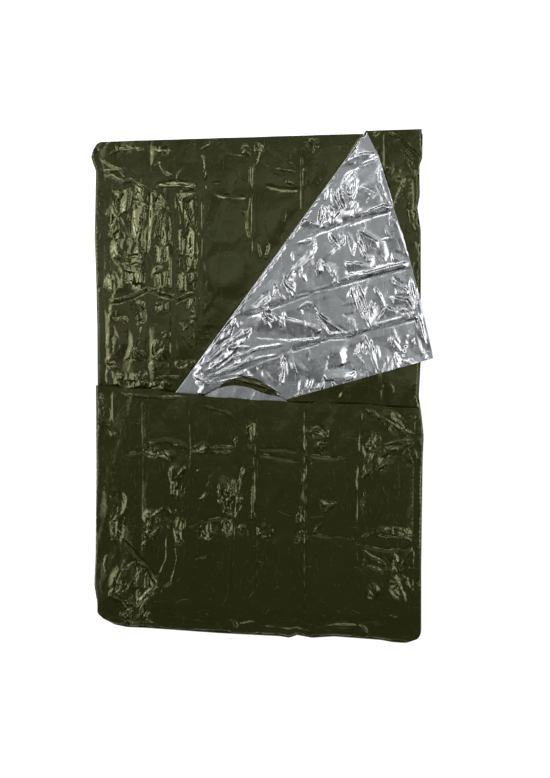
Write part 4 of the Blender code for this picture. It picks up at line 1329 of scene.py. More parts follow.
# %% Creases of the turned-back corner
OPENING_SEEN = ((219, 391), (221, 385), (228, 379.5), (240, 377), (256, 378.5), (266, 384),
                (281, 394), (262, 394), (243, 392), (232, 391.5))
OPENING = [seen_at(pixel, CORNER_PART) for pixel in OPENING_SEEN]
lay(CORNER_PART,
    puff=0, calm=1, facet_edge=0.004, scale=(1.05, 1.3),
    upright=(), level=(),
    ridges="""
-0.9 9 36 326.7,175 355,166.7 378.3,157.5
-1.2 3 3 327,177 355,168 378,159
1.5 4 4 355.8,168 345.8,176.7 341.7,186.7 346.7,195 351.7,198.3 355.8,186.7 355.3,170
1.5 4 4 327.5,183 325,203
1.8 4 4 330.8,186.7 333,195 336.7,203 341.7,213
1.5 4 4 336.7,186.7 340,200 345.8,211.7
2.0 5 5 322.5,203 319,226.7
1.6 4 4 323,205 331.7,220 330,226.7
1.2 3 3 355,198 357.5,203 355,213 346.7,220
1.2 4 4 346.7,208 336.7,218 332.5,228
1.0 3 3 361.7,186.7 375,193 365,205
2.0 4 7 379,165 380,186.7 386.7,200 393.3,208
2.2 10 9 318,229 343,218 393,206
-1.2 10 40 282.5,244 305,236.7 330,228 343,223 358,217.5 393,211
-1.3 3 3 282.5,246 305,238 330,229 358,219 393,212
-1.5 4 4 300,223 301.7,233 305,237.5
1.3 3 3 282.5,246 290.8,245 315.8,238.7
1.5 4 4 291.7,246 293,263
1.5 3 3 315.8,238 315,250 306.7,261.7
2.0 4 4 328,231.7 338,246.7 341.7,246.7
1.5 3 3 345,231.7 343,243 326.7,256.7 323,260
1.2 4 4 348,230 353,243 353,255
1.3 4 4 358,236.7 363,253 370,261.7
1.0 3 3 378,240.8 393,238 394,226.7
1.8 4 6 394,215 400,233 408,260
0.8 8 8 358,226.7 381.7,245 385,263
1.9 9 9 330,284 352,277 410,263.5
-1.2 9 22 236,320 254,315 270,309 286,304 312,293 352,282 410,268
-1.3 3 3 236,320 270,309 312,293 352,282 410,268
1.3 3 3 291,298 318,292 332,288
1.5 3 3 256,310 268,298 274,292
1.3 3 3 274,298 278,290 286,302
2.0 5 5 284,276 289,290 294,298
1.5 4 4 300,270 304,282
1.3 3 3 306,266 296,274
1.0 3 3 320,262 332,272 340,286
-1.2 6 6 347,270 350,282
1.6 9 9 340,335 364,328.5 418,314
-1.2 9 22 286,353 318,344 328,339 352,338 364,333 410,321 422,318
-1.3 3 3 286,353 318,344 328,339 352,338 364,333 410,321 422,318
1.2 3 3 236,360 258,348 272,346 286,344
-2.4 26 3 254,337 290,339 322,337
1.8 6 22 251,317 285,320 322,329
2.0 4 4 261,312 266,320 272,330
1.5 3 3 271,311 280,322 285,332
1.2 3 3 282,309 285,332
1.8 3 5 315,312 328,334
1.8 3 3 315,312 332,325 350,336
1.2 3 3 328,334 320,343 328,339
1.3 3 3 344,322 352,320 356,330 354,336
1.5 3 3 354,283 358,300 362,314 370,330
1.5 3 3 358,284 366,308 371,328
1.8 3 3 350,284 354,296 357,312
1.0 3 3 359,314 369,310 374,308
-0.8 4 4 373,290 382,302 386,314
1.2 5 5 388,278 400,286 410,292
1.0 3 3 394,298 408,301 414,314
1.5 3 3 398,311 404,309 410,320
1.8 3 6 410,276 412,290 418,316 426,345
1.5 5 5 391,334 396,346 402,352
1.2 3 3 412,337 414,346
1.3 3 3 395,356 399,372
1.0 3 3 422,358 429,360 422,367
1.8 3 3 364,334 372,356 377,379
1.5 3 3 369,336 375,360 380,378
1.0 3 3 360,340 356,354 368,368
1.2 3 3 361,368 366,370 364,376
1.2 3 3 380,379 384,372 386,379
-3.0 6 6 284,356 285,378 283,394
1.6 3 3 285,356 280,388
1.0 8 8 291,356 300,368 310,372
1.0 6 6 306,346 312,360 318,362
1.3 3 3 308,378 304,388 310,388 312,380 308,378
1.2 3 3 288,398 300,394 308,396
1.4 3 3 292,400 330,391 360,384 420,369
2.2 5 5 194,375 210,360 226,344 252,330
1.8 4 4 196,377 220,368 232,358 260,348
1.6 3 3 200,380 230,368 260,358 284,354
1.4 4 4 206,381 240,374 256,366 282,356
1.8 6 6 212,346 224,328 234,322 240,330
1.2 4 4 232,340 242,332 250,334
1.2 3 3 228,354 236,344
-1.5 8 8 256,364 270,382 280,394
2.5 4 4 191,374 206,382 220,382 234,379 252,383 270,388 281,397
2.1 4.2 24 356,144 334,175 305,217 276,259 246,301 217,343 198,370
""",
    patches="""
332 179 6 3 0 0.7
366 190 8 6 0 0.7
345 220 9 7 0 0.7
325 217 7 11 0 0.5
311 218 6 6 0 0.7
338 240 9 11 0 0.6
304 258 12 10 0 0.5
285 286 14 16 30 0.5
352 328 7 9 0 0.7
356 300 6 16 0 0.5
372 305 4 5 0 0.8
400 290 11 7 0 0.5
404 312 8 8 0 0.6
396 343 7 12 0 0.5
386 365 8 9 0 0.7
412 368 11 4 0 0.9
413 342 6 8 0 0.6
364 372 7 7 0 0.8
306 386 9 10 0 0.9
335 386 24 6 0 0.8
322 366 26 16 0 0.35
266 322 12 12 0 0.4
230 352 26 14 30 0.45
240 368 26 10 15 0.4
205 378 14 8 0 0.6
301 398 12 5 0 0.8
""",
    facets="""
2 208,370 226.7,350 236.7,343.3 246.7,336.7 243,345 230,355 218,367
2 211.7,376.7 235,365 256.7,353.3 258,358 246.7,364 230,372 217,379
1.5 262,306 270,305 274,322 268,322
2 286,273 294,268 296,290 290,287
-1 342,163 372,149 376,153 356,163
-2 356,168 379,158 380,162 360,167
1 355,168 349,176 352,197 343,184 342,180
2 339,185 341.5,190 342,203 345,211 339,199
2 331,192 334,197 339,211 336,209 331,199
1.5 329,204 336,217 333,222 328,208
1 322,206 326,213 333,224 328,222
2 321,211 324,216 323,226 319,226
2 313,219 315,226 310,221
-1.5 303,218 309,219 329,229 303,238 300,228
2 344,211 356,199 354,206 350,210
1.5 361,186 366,184 375,193 372,196 366,194 363,191
-2 346,226 362,213 383,204 394,206 395,211 350,226
-1 381,163 385,170 394,208 388,202 381,190
2 327,232 331,231 341,246 338,250 332,241
1 337,231 341,231 343,245 340,243
1 343,230 345,232 344,247 341,249
2 316,237 318,240 317,249 314,249 315,243
1.5 293,242 310,238 315,238 310,241 296,244
2 347,230 351,238 354,250 354,258 348,237
2 357,228 361,238 365,252 361,249 358,239
-0.8 358,229 378,241 386,265 380,264 366,252
1 365,254 375,262 372,262 364,258
1.5 384,222 388,226 393,240 390,239 385,230
1 393,213 396,220 401,245 396,237 392,222
1 390,249 400,251 405,258 398,262 392,262
-1.5 344,262 360,262 384,268 360,273 347,275
-3 356,277 410,262 409,267 376,275 358,278
1.5 316,251 303,262 297,272 290,275 293,266
2 301,264 304,270 307,283 303,281 300,270
3 283,274 289,272 293,284 296,293 292,292 286,284
1 321,256 327,262 322,275 317,277 318,268
0.7 326,262 336,262 341,272 338,280 331,270
1.5 251,305 262,296 268,290 272,300 262,308 255,310
1 270,300 275,284 286,299 276,298
3 262,311 268,305 273,323 268,320
1.5 283,306 287,322 285,322
-1 296,309 312,300 316,304 310,308
-1.5 316,311 332,322 351,332 329,334 326,325
0.7 301,309 315,306 326,328 318,335 305,325
0.7 342,306 350,289 355,304
1 342,314 357,312 352,320 349,323
1 351,283 355,283 363,308 358,311
1.5 357,282 361,290 366,302 361,302
-0.8 361,308 367,306 369,325 364,325
-1.5 373,285 380,295 385,310 382,309 376,296
1 370,300 376,300 374,314 371,305
1.5 393,275 410,290 409,297 395,295
-1.5 388,297 408,300 414,312 404,303
1 398,304 405,305 410,314 404,313
-1 386,305 400,312 402,317 378,322 372,325
-2.5 363,332 365,333 367,350 365,356 361,345
1 325,382 322,370 350,362 357,372 345,380
1.5 313,388 325,380 326,387 316,390
3 334,378 337,386 333,385
1.5 341,381 350,372 358,372 352,380
2 389,334 392,333 393,348 389,342
1.5 392,325 397,338 401,345 396,342
2 394,350 398,353 401,366 396,360
1.5 401,360 417,358 418,363 403,366
2 412,337 414,336 416,346 413,346
1 377,344 381,356 380,362 377,352
-0.8 414,316 420,316 432,350 425,354 421,350 416,335
1 421,355 425,352 428,356 424,360
1.5 235,318 241,326 225,338 212,346 222,330
2 241,320 246,325 243,327
2.5 226,349 234,339 240,345 232,349
1.5 246,332 252,327 249,340 246,338
-1 226,350 244,345 253,347 240,354 230,352
2.5 196,367 212,357 225,347 220,356 205,366
1.5 195,374 210,365 228,355 233,354 212,370 200,378
-1 215,376 254,362 250,367 236,374
1.5 236,374 252,368 255,376 240,376
-1.5 194,371 210,367 208,370 197,373
-1.5 284,362 284,390 276,388 280,375
-1.5 288,352 298,375 292,372
-0.5 262,366 284,353 277,372 281,384 262,376
""",
)

# %% [markdown]
# ## Relief of a whole part
# Broad facets lie everywhere, smaller ones mainly where the film is crumpled, and both give way
# to the ridges and to the listed facets. All of them level out on an upright packing fold.
# The soft puff between the folds and the ridges are added on top. A bump in the material would
# be simpler, but only real geometry has outlines and lets the film reflect its own creases.

# %% Relief of each part
BROAD = Facets(seed=11, spacing=0.030, stretch=1.8, turn=0.08)
MEDIUM = Facets(seed=12, spacing=0.014, stretch=1.8, turn=-0.15)
SMALL = Facets(seed=13, spacing=0.0065, stretch=2.4, turn=0.25)
BROAD_RISE, MEDIUM_RISE, SMALL_RISE = 0.0032, 0.0007, 0.0007
MEDIUM_WHERE_CALM, GIVEN_WAY, LAID_CRUMPLED = 0.35, 0.75, 0.8
FOLD_HALF, PUFF_HALF_X, PUFF_HALF_Y = 0.009, 0.016, 0.020


def puffed(place, lines, half_width):
    """1 between packing folds and 0 on each of them."""
    left = np.ones(len(place))
    for line in lines:
        left *= 1 - np.exp(-(((place - line * MM) / half_width) ** 2))
    return left


def part_relief(part, x, y):
    """The rise above its layer and the crumpled share of places on one part."""
    table = PARTS[part]
    calm, share = table["calm"], patches_share(x, y, table["patches"])
    facets, cover = facets_rise(x, y, table["facets"], table["facet_edge"])
    ridges, nearness = ridges_rise(x, y, table["ridges"])
    rise = BROAD_RISE * (calm + (1 - calm) * share) * BROAD.rise(x, y)
    rise += MEDIUM_RISE * (MEDIUM_WHERE_CALM * calm + share) * MEDIUM.rise(x, y)
    rise *= 1 - GIVEN_WAY * np.maximum(cover, nearness)
    rise += SMALL_RISE * share * SMALL.rise(x, y)
    rise = (rise + facets) * puffed(x, table["upright"], FOLD_HALF)
    puff = puffed(x, table["upright"], PUFF_HALF_X) * puffed(y, table["level"], PUFF_HALF_Y)
    return rise + table["puff"] * puff + ridges, np.maximum(share, LAID_CRUMPLED * cover)


for number in PARTS:
    x, y = np.array(PARTS[number]["ridges"][0][3:])[1:].T * MM
    print(f"part {number}: {part_relief(number, x, y)[0].min() * 1000:.1f} mm along its first ridge")

# %% [markdown]
# ## Where the relief levels out
# At a fold and under the edge of another layer the film is held flat, so the creases fade out
# there. Everywhere else the film is lifted a little, which keeps the bottom of each valley above
# the layer beneath. The tongue only gets the facets of middle size.

# %% Relief of every point
TONGUE_RISE, BASE_LIFT = 0.0015, 0.0022
DEEPEST = -0.9                                     # of the lift, at the bottom of a valley
SIDE_FADE, FOLD_FADE = 0.0045, 0.0055              # over how far the creases come in
SIDE_LIFT, FOLD_LIFT = 0.12, 0.055                 # and over how far the lift does
BOTTOM_FLAT, TIP_FLAT = 0.002, 0.012               # how far the film lies flat there
PAST_FRONT, PAST_TONGUE, PAST_CORNER = 0.004, 0.002, 0.002   # how far creases go on beneath


def relief(part, x, y):
    """Rise and crumpled share of every point, from its part and its place."""
    rise, share = np.zeros(len(x)), np.zeros(len(x))
    for number in PARTS:
        mine = part == number
        if mine.any():
            rise[mine], share[mine] = part_relief(number, x[mine], y[mine])
    rise = np.where(part == TONGUE_PART, TONGUE_RISE * MEDIUM.rise(x, y), rise)
    past = past_corner(x, y)
    to_side = np.minimum(x - LEFT, RIGHT - x)
    to_front = y - front_edge(x)
    to_tongue = np.minimum(to_front, y - tongue_edge(x))
    from_tip = np.hypot(x - CORNER_TOP[0], y - CORNER_TOP[1])
    from_fold = {FRONT_PART: y - BOTTOM - BOTTOM_FLAT,
                 UPPER_PART: np.minimum(to_front + PAST_FRONT, past + PAST_CORNER),
                 STRIP_PART: np.minimum(to_front + PAST_FRONT, from_tip - TIP_FLAT),
                 CORNER_PART: np.minimum(to_tongue + PAST_TONGUE, -past)}
    turned_back = part == CORNER_PART
    at_side = np.where(turned_back, 1.0, tapered(to_side, 0.0, SIDE_FADE))
    fade, lift = np.ones(len(x)), np.where(turned_back, 1.0, tapered(to_side, 0.0, SIDE_LIFT))
    for number, away in from_fold.items():
        fade = np.where(part == number, tapered(away, 0.0, FOLD_FADE) * at_side, fade)
        lift = np.where(part == number, tapered(away, 0.0, FOLD_LIFT) * lift, lift)
    rise = np.maximum(rise, DEEPEST * BASE_LIFT)
    return np.maximum(rise * fade + BASE_LIFT * lift, 0.0), share


middle = relief(np.array([TONGUE_PART]), np.zeros(1), np.zeros(1))[0]
print(f"the tongue lies {middle[0] * 1000:.1f} mm high in the middle")

# %% [markdown]
# ## Cutting the film into triangles
# Each side of the film gets its own points: close together where that side shows, far apart
# where it is hidden. A subdivided grid would spend most of its faces on hidden layers. Rows of
# points run along every fold, so that each one bends in even steps, and both sides share the
# points of the rim, where they are joined.

# %% Steps of the folds
def steps_between(start, end, count):
    return [start + (end - start) * step / count for step in range(count + 1)]


LEFT_STEPS = steps_between(LEFT_LINE, LEFT_END, 6)
RIGHT_STEPS = steps_between(RIGHT_LINE, RIGHT_END, 8)
HEM_STEPS = steps_between(HEM_LINE, HEM_END, 9)
CORNER_STEPS = steps_between(0, HALF_FOLD, 5)
FLAT_CORNER = np.array((RIGHT_MIRROR - CORNER_TOP[0], CORNER_TOP[1]))
FLAT_OUT = np.array((-CORNER_OUT[0], CORNER_OUT[1]))
FLAT_RUN = np.array((-CORNER_RUN[0], CORNER_RUN[1]))


def corner_line(offset):
    """Both ends, on the sheet's edges, of a line beside the corner's fold."""
    start = FLAT_CORNER + FLAT_OUT * offset
    to_top = (SHEET_TOP - start[1]) / FLAT_RUN[1]
    to_side = (SHEET_RIGHT - start[0]) / FLAT_RUN[0]
    return start + FLAT_RUN * to_top, start + FLAT_RUN * to_side


CORNER_LINES = [corner_line(offset) for offset in CORNER_STEPS]
print(f"the corner's fold is {np.linalg.norm(np.subtract(*CORNER_LINES[0])):.3f} m long")

# %% [markdown]
# The rim passes through the end of each of these rows. The left edge of the sheet is hidden, so
# it gets longer steps than the other three.

# %% Points of the rim
RIM_STEP, HIDDEN_RIM_STEP, TINY = 0.0045, 0.0120, 1e-9


def spaced(marks, longest):
    """Places from the first mark to the last, through every mark, no further apart than longest."""
    marks = sorted(marks)
    places = []
    for low, high in zip(marks, marks[1:]):
        count = max(math.ceil((high - low) / longest - TINY), 1)
        places += [low + (high - low) * step / count for step in range(count)]
    return places + [marks[-1]]


def rim_points():
    """The points of the sheet's edge in order, counter-clockwise from the low left corner."""
    across = [SHEET_LEFT, SHEET_RIGHT, *LEFT_STEPS, *RIGHT_STEPS]
    upward = [SHEET_LOW, SHEET_TOP, *HEM_STEPS]
    low = spaced(across, RIM_STEP)
    top = spaced(across + [at_top[0] for at_top, _ in CORNER_LINES], RIM_STEP)
    left = spaced(upward, HIDDEN_RIM_STEP)
    right = spaced(upward + [at_side[1] for _, at_side in CORNER_LINES], RIM_STEP)
    points = [(u, SHEET_LOW) for u in low[:-1]] + [(SHEET_RIGHT, v) for v in right[:-1]]
    points += [(u, SHEET_TOP) for u in top[:0:-1]] + [(SHEET_LEFT, v) for v in left[:0:-1]]
    return np.array(points)


RIM = len(rim_points())
print(RIM, "points on the rim")

# %% [markdown]
# Between the rows lies a lattice of equal triangles, which keeps clear of the folds and of the
# rim so that no thin slivers come about.

# %% Points between the folds
INSET = 0.002                                  # of the rows' ends from the edge


def lattice(spacing):
    """A lattice of equal triangles over the whole flat sheet."""
    levels = np.arange(SHEET_LOW, SHEET_TOP, spacing * math.sqrt(3) / 2)
    u, v = np.meshgrid(np.arange(SHEET_LEFT, SHEET_RIGHT, spacing), levels)
    u = u + (np.arange(len(levels)) % 2)[:, None] * spacing / 2
    return np.column_stack((u.ravel(), v.ravel()))


def in_fold(points, margin):
    """Whether each point of the flat sheet lies within one of the folds."""
    u, v = points[:, 0], points[:, 1]
    corner = (points - FLAT_CORNER) @ FLAT_OUT
    return (
        ((u > LEFT_END - margin) & (u < LEFT_LINE + margin))
        | ((u > RIGHT_LINE - margin) & (u < RIGHT_END + margin))
        | ((v > HEM_END - margin) & (v < HEM_LINE + margin))
        | ((corner > -margin) & (corner < HALF_FOLD + margin) & (u > RIGHT_END - margin))
    )


def fold_points(along_outside, along_corner):
    """Rows of points along every step of every fold."""
    across = spaced([SHEET_LEFT + INSET, LEFT_END, LEFT_LINE, RIGHT_LINE, RIGHT_END,
                     SHEET_RIGHT - INSET, *LEFT_STEPS, *RIGHT_STEPS], along_outside)
    upward = spaced([SHEET_LOW + INSET, SHEET_TOP - INSET, *HEM_STEPS], along_outside)
    points = [(u, v) for v in HEM_STEPS for u in across]
    points += [(u, v) for u in LEFT_STEPS + RIGHT_STEPS for v in upward if v not in HEM_STEPS]
    for start, end in CORNER_LINES:
        length = np.linalg.norm(end - start)
        for share in spaced([INSET / length, 1 - INSET / length], along_corner / length):
            points.append(tuple(start + (end - start) * share))
    return np.array(points)


print(len(fold_points(0.006, 0.006)), "points along the folds of the outside")

# %% [markdown]
# Much of the film is smooth, and a wide lattice does for it. The fine one is only kept beside
# ridges, at the outlines of facets and in crumpled patches. The wide lattice takes every second
# point of every second row, so the two fit together.

# %% Points of each side
FINE, COARSE, UNDERSIDE = 0.00265, 0.030, 0.020
WIDEST, BESIDE_RIDGE, BESIDE_OPENING = 8, 1, 5     # millimetres of fine points at a line
CRUMPLED = 0.5                                     # where this crumpled, all points are fine
RIM_CLEAR, FOLD_CLEAR, FREE_EDGE = 0.0014, 0.0012, 0.014
SHOWN = {"outside": [FRONT_PART, UPPER_PART, STRIP_PART], "inside": [CORNER_PART, TONGUE_PART]}


def detailed(part, x, y):
    """Whether each place is close to a ridge or to the outline of a facet."""
    near = np.zeros(len(x), bool)
    for number, table in PARTS.items():
        mine = part == number
        wider = [(1.0, min(left, WIDEST) + BESIDE_RIDGE, min(right, WIDEST) + BESIDE_RIDGE, *path)
                 for _, left, right, *path in table["ridges"]]
        wider.append((1.0, BESIDE_OPENING, BESIDE_OPENING, *OPENING, OPENING[0]))
        _, cover = facets_rise(x[mine], y[mine], table["facets"], table["facet_edge"])
        _, nearness = ridges_rise(x[mine], y[mine], wider)
        crumpled = patches_share(x[mine], y[mine], table["patches"])
        near[mine] = ((cover > 0) & (cover < 1)) | (nearness > 0) | (crumpled > CRUMPLED)
    return near


def thinned(points):
    """Leaves out three points in four of the fine lattice wherever the film is smooth."""
    row = np.round((points[:, 1] - SHEET_LOW) / (FINE * math.sqrt(3) / 2)).astype(int)
    column = np.round((points[:, 0] - SHEET_LEFT) / FINE - (row % 2) / 2).astype(int)
    shape = folded(*points.T, np.full(len(points), BACK))
    in_wide_lattice = (row % 2 == 0) & ((column + row // 2) % 2 == 0)
    return points[in_wide_lattice | detailed(part_of(*points.T), shape[:, 0], shape[:, 1])]


def side_points(name, hidden_spacing, fold_spacing, corner_spacing):
    """The points of one side of the film, rim first."""
    others = [number for number in PARTS if number not in SHOWN[name]]

    def seen(points):
        part = part_of(*points.T)
        near_edge = np.isin(part, others) & (to_free_edge(*points.T) < FREE_EDGE)
        return np.isin(part, SHOWN[name]) | near_edge

    fine, wide = thinned(lattice(FINE)), lattice(hidden_spacing)
    inner = np.concatenate((fine[seen(fine)], wide[~seen(wide)]))
    inner = inner[(to_free_edge(*inner.T) > RIM_CLEAR) & ~in_fold(inner, FOLD_CLEAR)]
    return np.concatenate((rim_points(), fold_points(fold_spacing, corner_spacing), inner))


outside_points = side_points("outside", hidden_spacing=UNDERSIDE, fold_spacing=0.006,
                             corner_spacing=0.006)
inside_points = side_points("inside", hidden_spacing=COARSE, fold_spacing=0.008,
                            corner_spacing=0.003)
print(len(outside_points), "points outside and", len(inside_points), "inside")

# %% [markdown]
# A Delaunay triangulation of the flat points gives the best-shaped triangles. Where the corner
# is turned back, the outline of its opening is cut in as well, so that the edge between the two
# colours runs clean and not in teeth.

# %% Triangles
TOUCHING = 1e-7                                # points this close become one


def opening_on_sheet():
    """Points along the outline of the opening in the corner, on the flat sheet."""
    corners, points = np.array(OPENING) * MM, []
    for start, end in zip(corners, np.roll(corners, -1, axis=0)):
        count = math.ceil(np.linalg.norm(end - start) / FINE)
        points += [start + (end - start) * step / count for step in range(count)]
    points = np.array(points)
    points += (HALF_FOLD - 2 * past_corner(*points.T))[:, None] * CORNER_OUT
    return np.column_stack((RIGHT_MIRROR - points[:, 0], points[:, 1]))


def triangulated(points, outline):
    """The points that were kept, the triangles between them, and where each point came from."""
    vectors = [Vector(point) for point in (*points, *outline)]
    loop = [(len(points) + step, len(points) + (step + 1) % len(outline))
            for step in range(len(outline))]
    kept, _, faces, origins, *_ = delaunay_2d_cdt(vectors, loop, [], 0, TOUCHING)
    return np.array(kept), np.array(faces), [origin[0] for origin in origins]


opening = opening_on_sheet()
print(len(opening), "points round the opening")

# %% [markdown]
# The points are folded and lifted by their relief. Shading could average the faces around each
# point, but their uneven sizes would show as ripples in a mirror. So each point's normal is
# measured on the folded surface itself, between places just beside it.

# %% Shape of both sides
LEVEL = {"outside": -FILM / 2, "inside": FILM / 2}
BESIDE, BESIDE_IN_FOLD, FOLD_MARGIN = 0.0012, 0.0002, 0.001
EDGE_FOLLOWS, EDGE_ENDS = 0.010, 0.014     # hidden film follows the creases only at a free edge


def surface(u, v, name):
    """Where points of one side of the film end up, and how crumpled each of them is."""
    part = part_of(u, v)
    shape = folded(u, v, np.full(len(u), BACK + LEVEL[name]))
    rise, share = relief(part, shape[:, 0], shape[:, 1])
    at_edge = 1 - tapered(to_free_edge(u, v), EDGE_FOLLOWS, EDGE_ENDS)
    follows = np.where(np.isin(part, SHOWN[name]), 1.0, at_edge)
    shape[:, 2] += rise * follows
    return with_uneven_outline(shape) + CENTRING, share * follows


def facing(flat, name):
    """The way each point of one side faces."""
    u, v = flat.T
    reach = np.where(in_fold(flat, FOLD_MARGIN), BESIDE_IN_FOLD, BESIDE)
    along_u = surface(u + reach, v, name)[0] - surface(u - reach, v, name)[0]
    along_v = surface(u, v + reach, name)[0] - surface(u, v - reach, name)[0]
    normal = np.cross(along_u, along_v) * np.sign(LEVEL[name])
    return normal / np.linalg.norm(normal, axis=1)[:, None]


sides = {}
for name, points, outline in (("outside", outside_points, []), ("inside", inside_points, opening)):
    flat, faces, origins = triangulated(points, outline)
    shape, share = surface(*flat.T, name)
    sides[name] = dict(flat=flat, faces=faces, shape=shape, share=share, origins=origins,
                       facing=facing(flat, name))
    print(f"{name}: {len(flat)} points, {len(faces)} triangles")

# %% [markdown]
# The two sides are joined into one closed shell. A Solidify modifier would give both sides the
# same triangles, and here they differ. The rim's points come first in both lists, so the strip
# that closes the edge is a simple loop over them.

# %% Join the two sides
outside, inside = sides["outside"], sides["inside"]
start = len(outside["flat"])
triangles = [(a, c, b) for a, b, c in outside["faces"].tolist()]
triangles += [(a + start, b + start, c + start) for a, b, c in inside["faces"].tolist()]
below = {origin: place for place, origin in enumerate(outside["origins"]) if origin < RIM}
above = {origin: place + start for place, origin in enumerate(inside["origins"]) if origin < RIM}
rim_faces = []
for step in range(RIM):
    following = (step + 1) % RIM
    rim_faces.append((below[step], below[following], above[following], above[step]))

mesh = bpy.data.meshes.new("blanket film")
points = np.concatenate((outside["shape"], inside["shape"]))
mesh.from_pydata(points.tolist(), [], triangles + rim_faces)
mesh.update()
film = bpy.data.objects.new("blanket_film", mesh)
bpy.context.scene.collection.objects.link(film)
checked = bmesh.new()
checked.from_mesh(mesh)
open_edges = sum(not edge.is_manifold for edge in checked.edges)
print(f"{len(mesh.polygons)} faces, {open_edges} open edges, volume {checked.calc_volume():.6f} m3")
checked.free()

# %% [markdown]
# The shell gets its measured normals and, at each point, how crumpled it is, for the finishes
# to read. The outside and the rim are olive. The inside is silver, apart from the lens-shaped
# opening in the corner, which shows olive film.

# %% Normals, crumpled share and finishes of the shell
def inside_polygon(x, y, corners):
    """Whether each place lies inside a closed outline."""
    odd = np.zeros(len(x), bool)
    for start, end in zip(corners, np.roll(corners, -1, axis=0)):
        between = (start[1] > y) != (end[1] > y)
        run = (end[0] - start[0]) / (end[1] - start[1] or TINY)
        odd ^= between & (x < start[0] + (y - start[1]) * run)
    return odd


share = np.concatenate((outside["share"], inside["share"]))
mesh.attributes.new("crumpled", "FLOAT", "POINT").data.foreach_set("value", share)
middle = inside["flat"][inside["faces"]].mean(axis=1)
silver = ~inside_polygon(*middle.T, opening)
finish = np.zeros(len(mesh.polygons), np.int32)
finish[len(outside["faces"]):len(outside["faces"]) + len(silver)] = silver
mesh.polygons.foreach_set("material_index", finish)
mesh.polygons.foreach_set("use_smooth", np.ones(len(mesh.polygons), bool))
mesh.normals_split_custom_set_from_vertices(np.concatenate((outside["facing"], inside["facing"])))
print(f"{finish.sum()} silver faces and {len(finish) - finish.sum()} olive ones")

# %% [markdown]
# ## Relief of the finishes
# Creases finer than the triangles are left to the finish. Cells of two sizes lean each their
# own way, a few sharp lines run between cells, and a soft grain lies over all. They are strong
# where the film is crumpled and faint where it is calm.

# %% Fine creases
WANDER_SIZE, WANDER = 0.30, 1.1                   # in cells
HALF_GREY, CELL_SHAPE = (0.5, 0.5, 0.5), (1.0, 0.55, 0.0)
BIG_CELLS, BIG_LEAN, LITTLE_CELLS, LITTLE_LEAN = 38.0, 0.22, 90.0, 0.06
LINE_CELLS, LINE_HALF, LINE_HEIGHT = 45.0, 0.0013, 0.00035
GRAIN, GRAIN_HEIGHT = 26.0, 0.0008
COMING, SHARPNESS = 0.8, 8.0                      # how lines come and go


def vector(tree, operation, *values, **named):
    return tree.node("ShaderNodeVectorMath", {"operation": operation}, *values, **named)[0]


def noise(tree, place, scale, detail=2.0):
    return tree.node("ShaderNodeTexNoise", None, Vector=place, Scale=scale, Detail=detail)


def uneven_place(tree, place, scale):
    """The place, pushed about a little, and shortened so that cells are longer up the sheet."""
    wander = vector(tree, "SUBTRACT", noise(tree, place, scale * WANDER_SIZE, 1.0)[1], HALF_GREY)
    wander = vector(tree, "SCALE", wander, Scale=WANDER / scale)
    return vector(tree, "MULTIPLY", vector(tree, "ADD", place, wander), CELL_SHAPE)


def leaning_cells(tree, place, scale):
    """The height of flat cells that each lean their own way."""
    moved = uneven_place(tree, place, scale)
    lean, middle = tree.node("ShaderNodeTexVoronoi", None, Vector=moved, Scale=scale)[1:3]
    lean = vector(tree, "SUBTRACT", lean, HALF_GREY)
    return vector(tree, "DOT_PRODUCT", vector(tree, "SUBTRACT", moved, middle), lean)


def crease_lines(tree, place, scale, half_width):
    """Lines between cells, 1 on the line, that come and go and sink as often as they rise."""
    edge = tree.node("ShaderNodeTexVoronoi", {"feature": "DISTANCE_TO_EDGE"},
                     Vector=uneven_place(tree, place, scale), Scale=scale)[0]
    line = (1.0 - edge * (1.0 / (half_width * scale))).clamped(0.0, 1.0)
    shown = noise(tree, place, scale * COMING)[0]
    return line * ((shown - 0.5) * SHARPNESS).clamped(-1.0, 1.0)


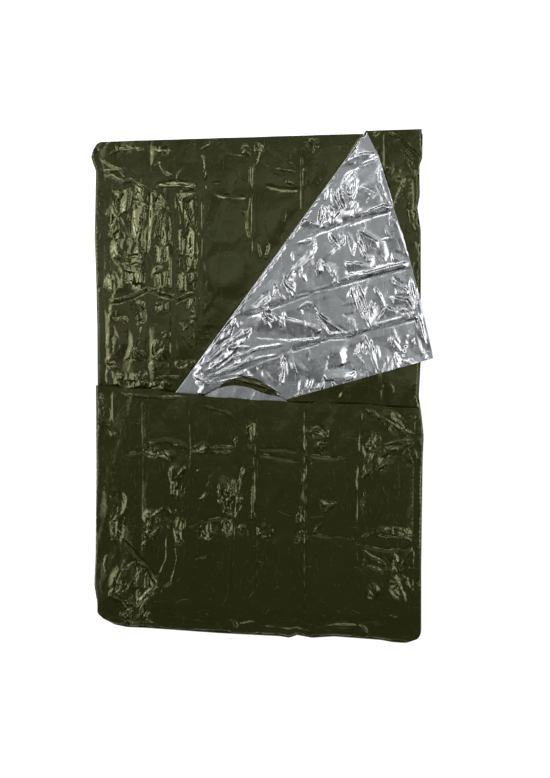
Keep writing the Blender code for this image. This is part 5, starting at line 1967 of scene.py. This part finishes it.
def film_normal(tree, calm, most):
    """The normal of creased film: calm where it is smooth, most where it is crumpled."""
    place = tree.node("ShaderNodeTexCoord")[3]
    crumpled = tree.node("ShaderNodeAttribute", {"attribute_name": "crumpled"})[2]
    cells = leaning_cells(tree, place, BIG_CELLS) * BIG_LEAN
    cells += leaning_cells(tree, place, LITTLE_CELLS) * LITTLE_LEAN
    lines = crease_lines(tree, place, LINE_CELLS, LINE_HALF) * LINE_HEIGHT
    strength = calm + crumpled * (most - calm)
    height = noise(tree, place, GRAIN, 3.0)[0] * GRAIN_HEIGHT + (cells + lines) * strength
    return tree.node("ShaderNodeBump", None, Strength=1.0, Distance=1.0, Height=height)[0]

# %% [markdown]
# ## Finishes
# The outside is dark olive plastic under a clear gloss, and its shine is slightly yellow. A
# coat layer would double the highlight, so the gloss is the base's own. The inside is a thin
# coat of metal on the plastic, which makes it satin and a little warm. The tone and the shine
# of both wander softly, because no film is coated quite evenly.

# %% Olive and silver film
CLOUD_SIZE, HAZE_SIZE = 7.0, 60.0


def film_finish(name, colours, roughness, calm, most, **settings):
    """A film whose tone and shine wander a little from place to place."""
    material, tree = new_material(name)
    place = tree.node("ShaderNodeTexCoord")[3]
    cloud, haze = noise(tree, place, CLOUD_SIZE, 3.0)[0], noise(tree, place, HAZE_SIZE)[0]
    low, high = roughness
    colour = tree.node("ShaderNodeMix", {"data_type": "RGBA"}, cloud, *colours)[0]
    shader = tree.node("ShaderNodeBsdfPrincipled", None, colour, **settings,
                       Roughness=low + (high - low) * haze, Normal=film_normal(tree, calm, most))[0]
    tree.node("ShaderNodeOutputMaterial", None, shader)
    mesh.materials.append(material)
    print(f"{name}: {len(tree.tree.nodes)} nodes")


film_finish("olive film", colours=[(0.0155, 0.0163, 0.0014, 1), (0.0205, 0.0217, 0.0024, 1)],
            roughness=(0.10, 0.16), calm=0.10, most=1.0,
            Specular_IOR_Level=1.0, Specular_Tint=(0.99, 1.0, 0.47, 1))
film_finish("silver film", colours=[(0.53, 0.535, 0.458, 1), (0.60, 0.605, 0.52, 1)],
            roughness=(0.24, 0.31), calm=0.10, most=0.6, Metallic=1.0)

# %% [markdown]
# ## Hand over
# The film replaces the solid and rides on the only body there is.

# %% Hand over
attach(film, "root")
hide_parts("blanket")
bpy.context.view_layer.update()
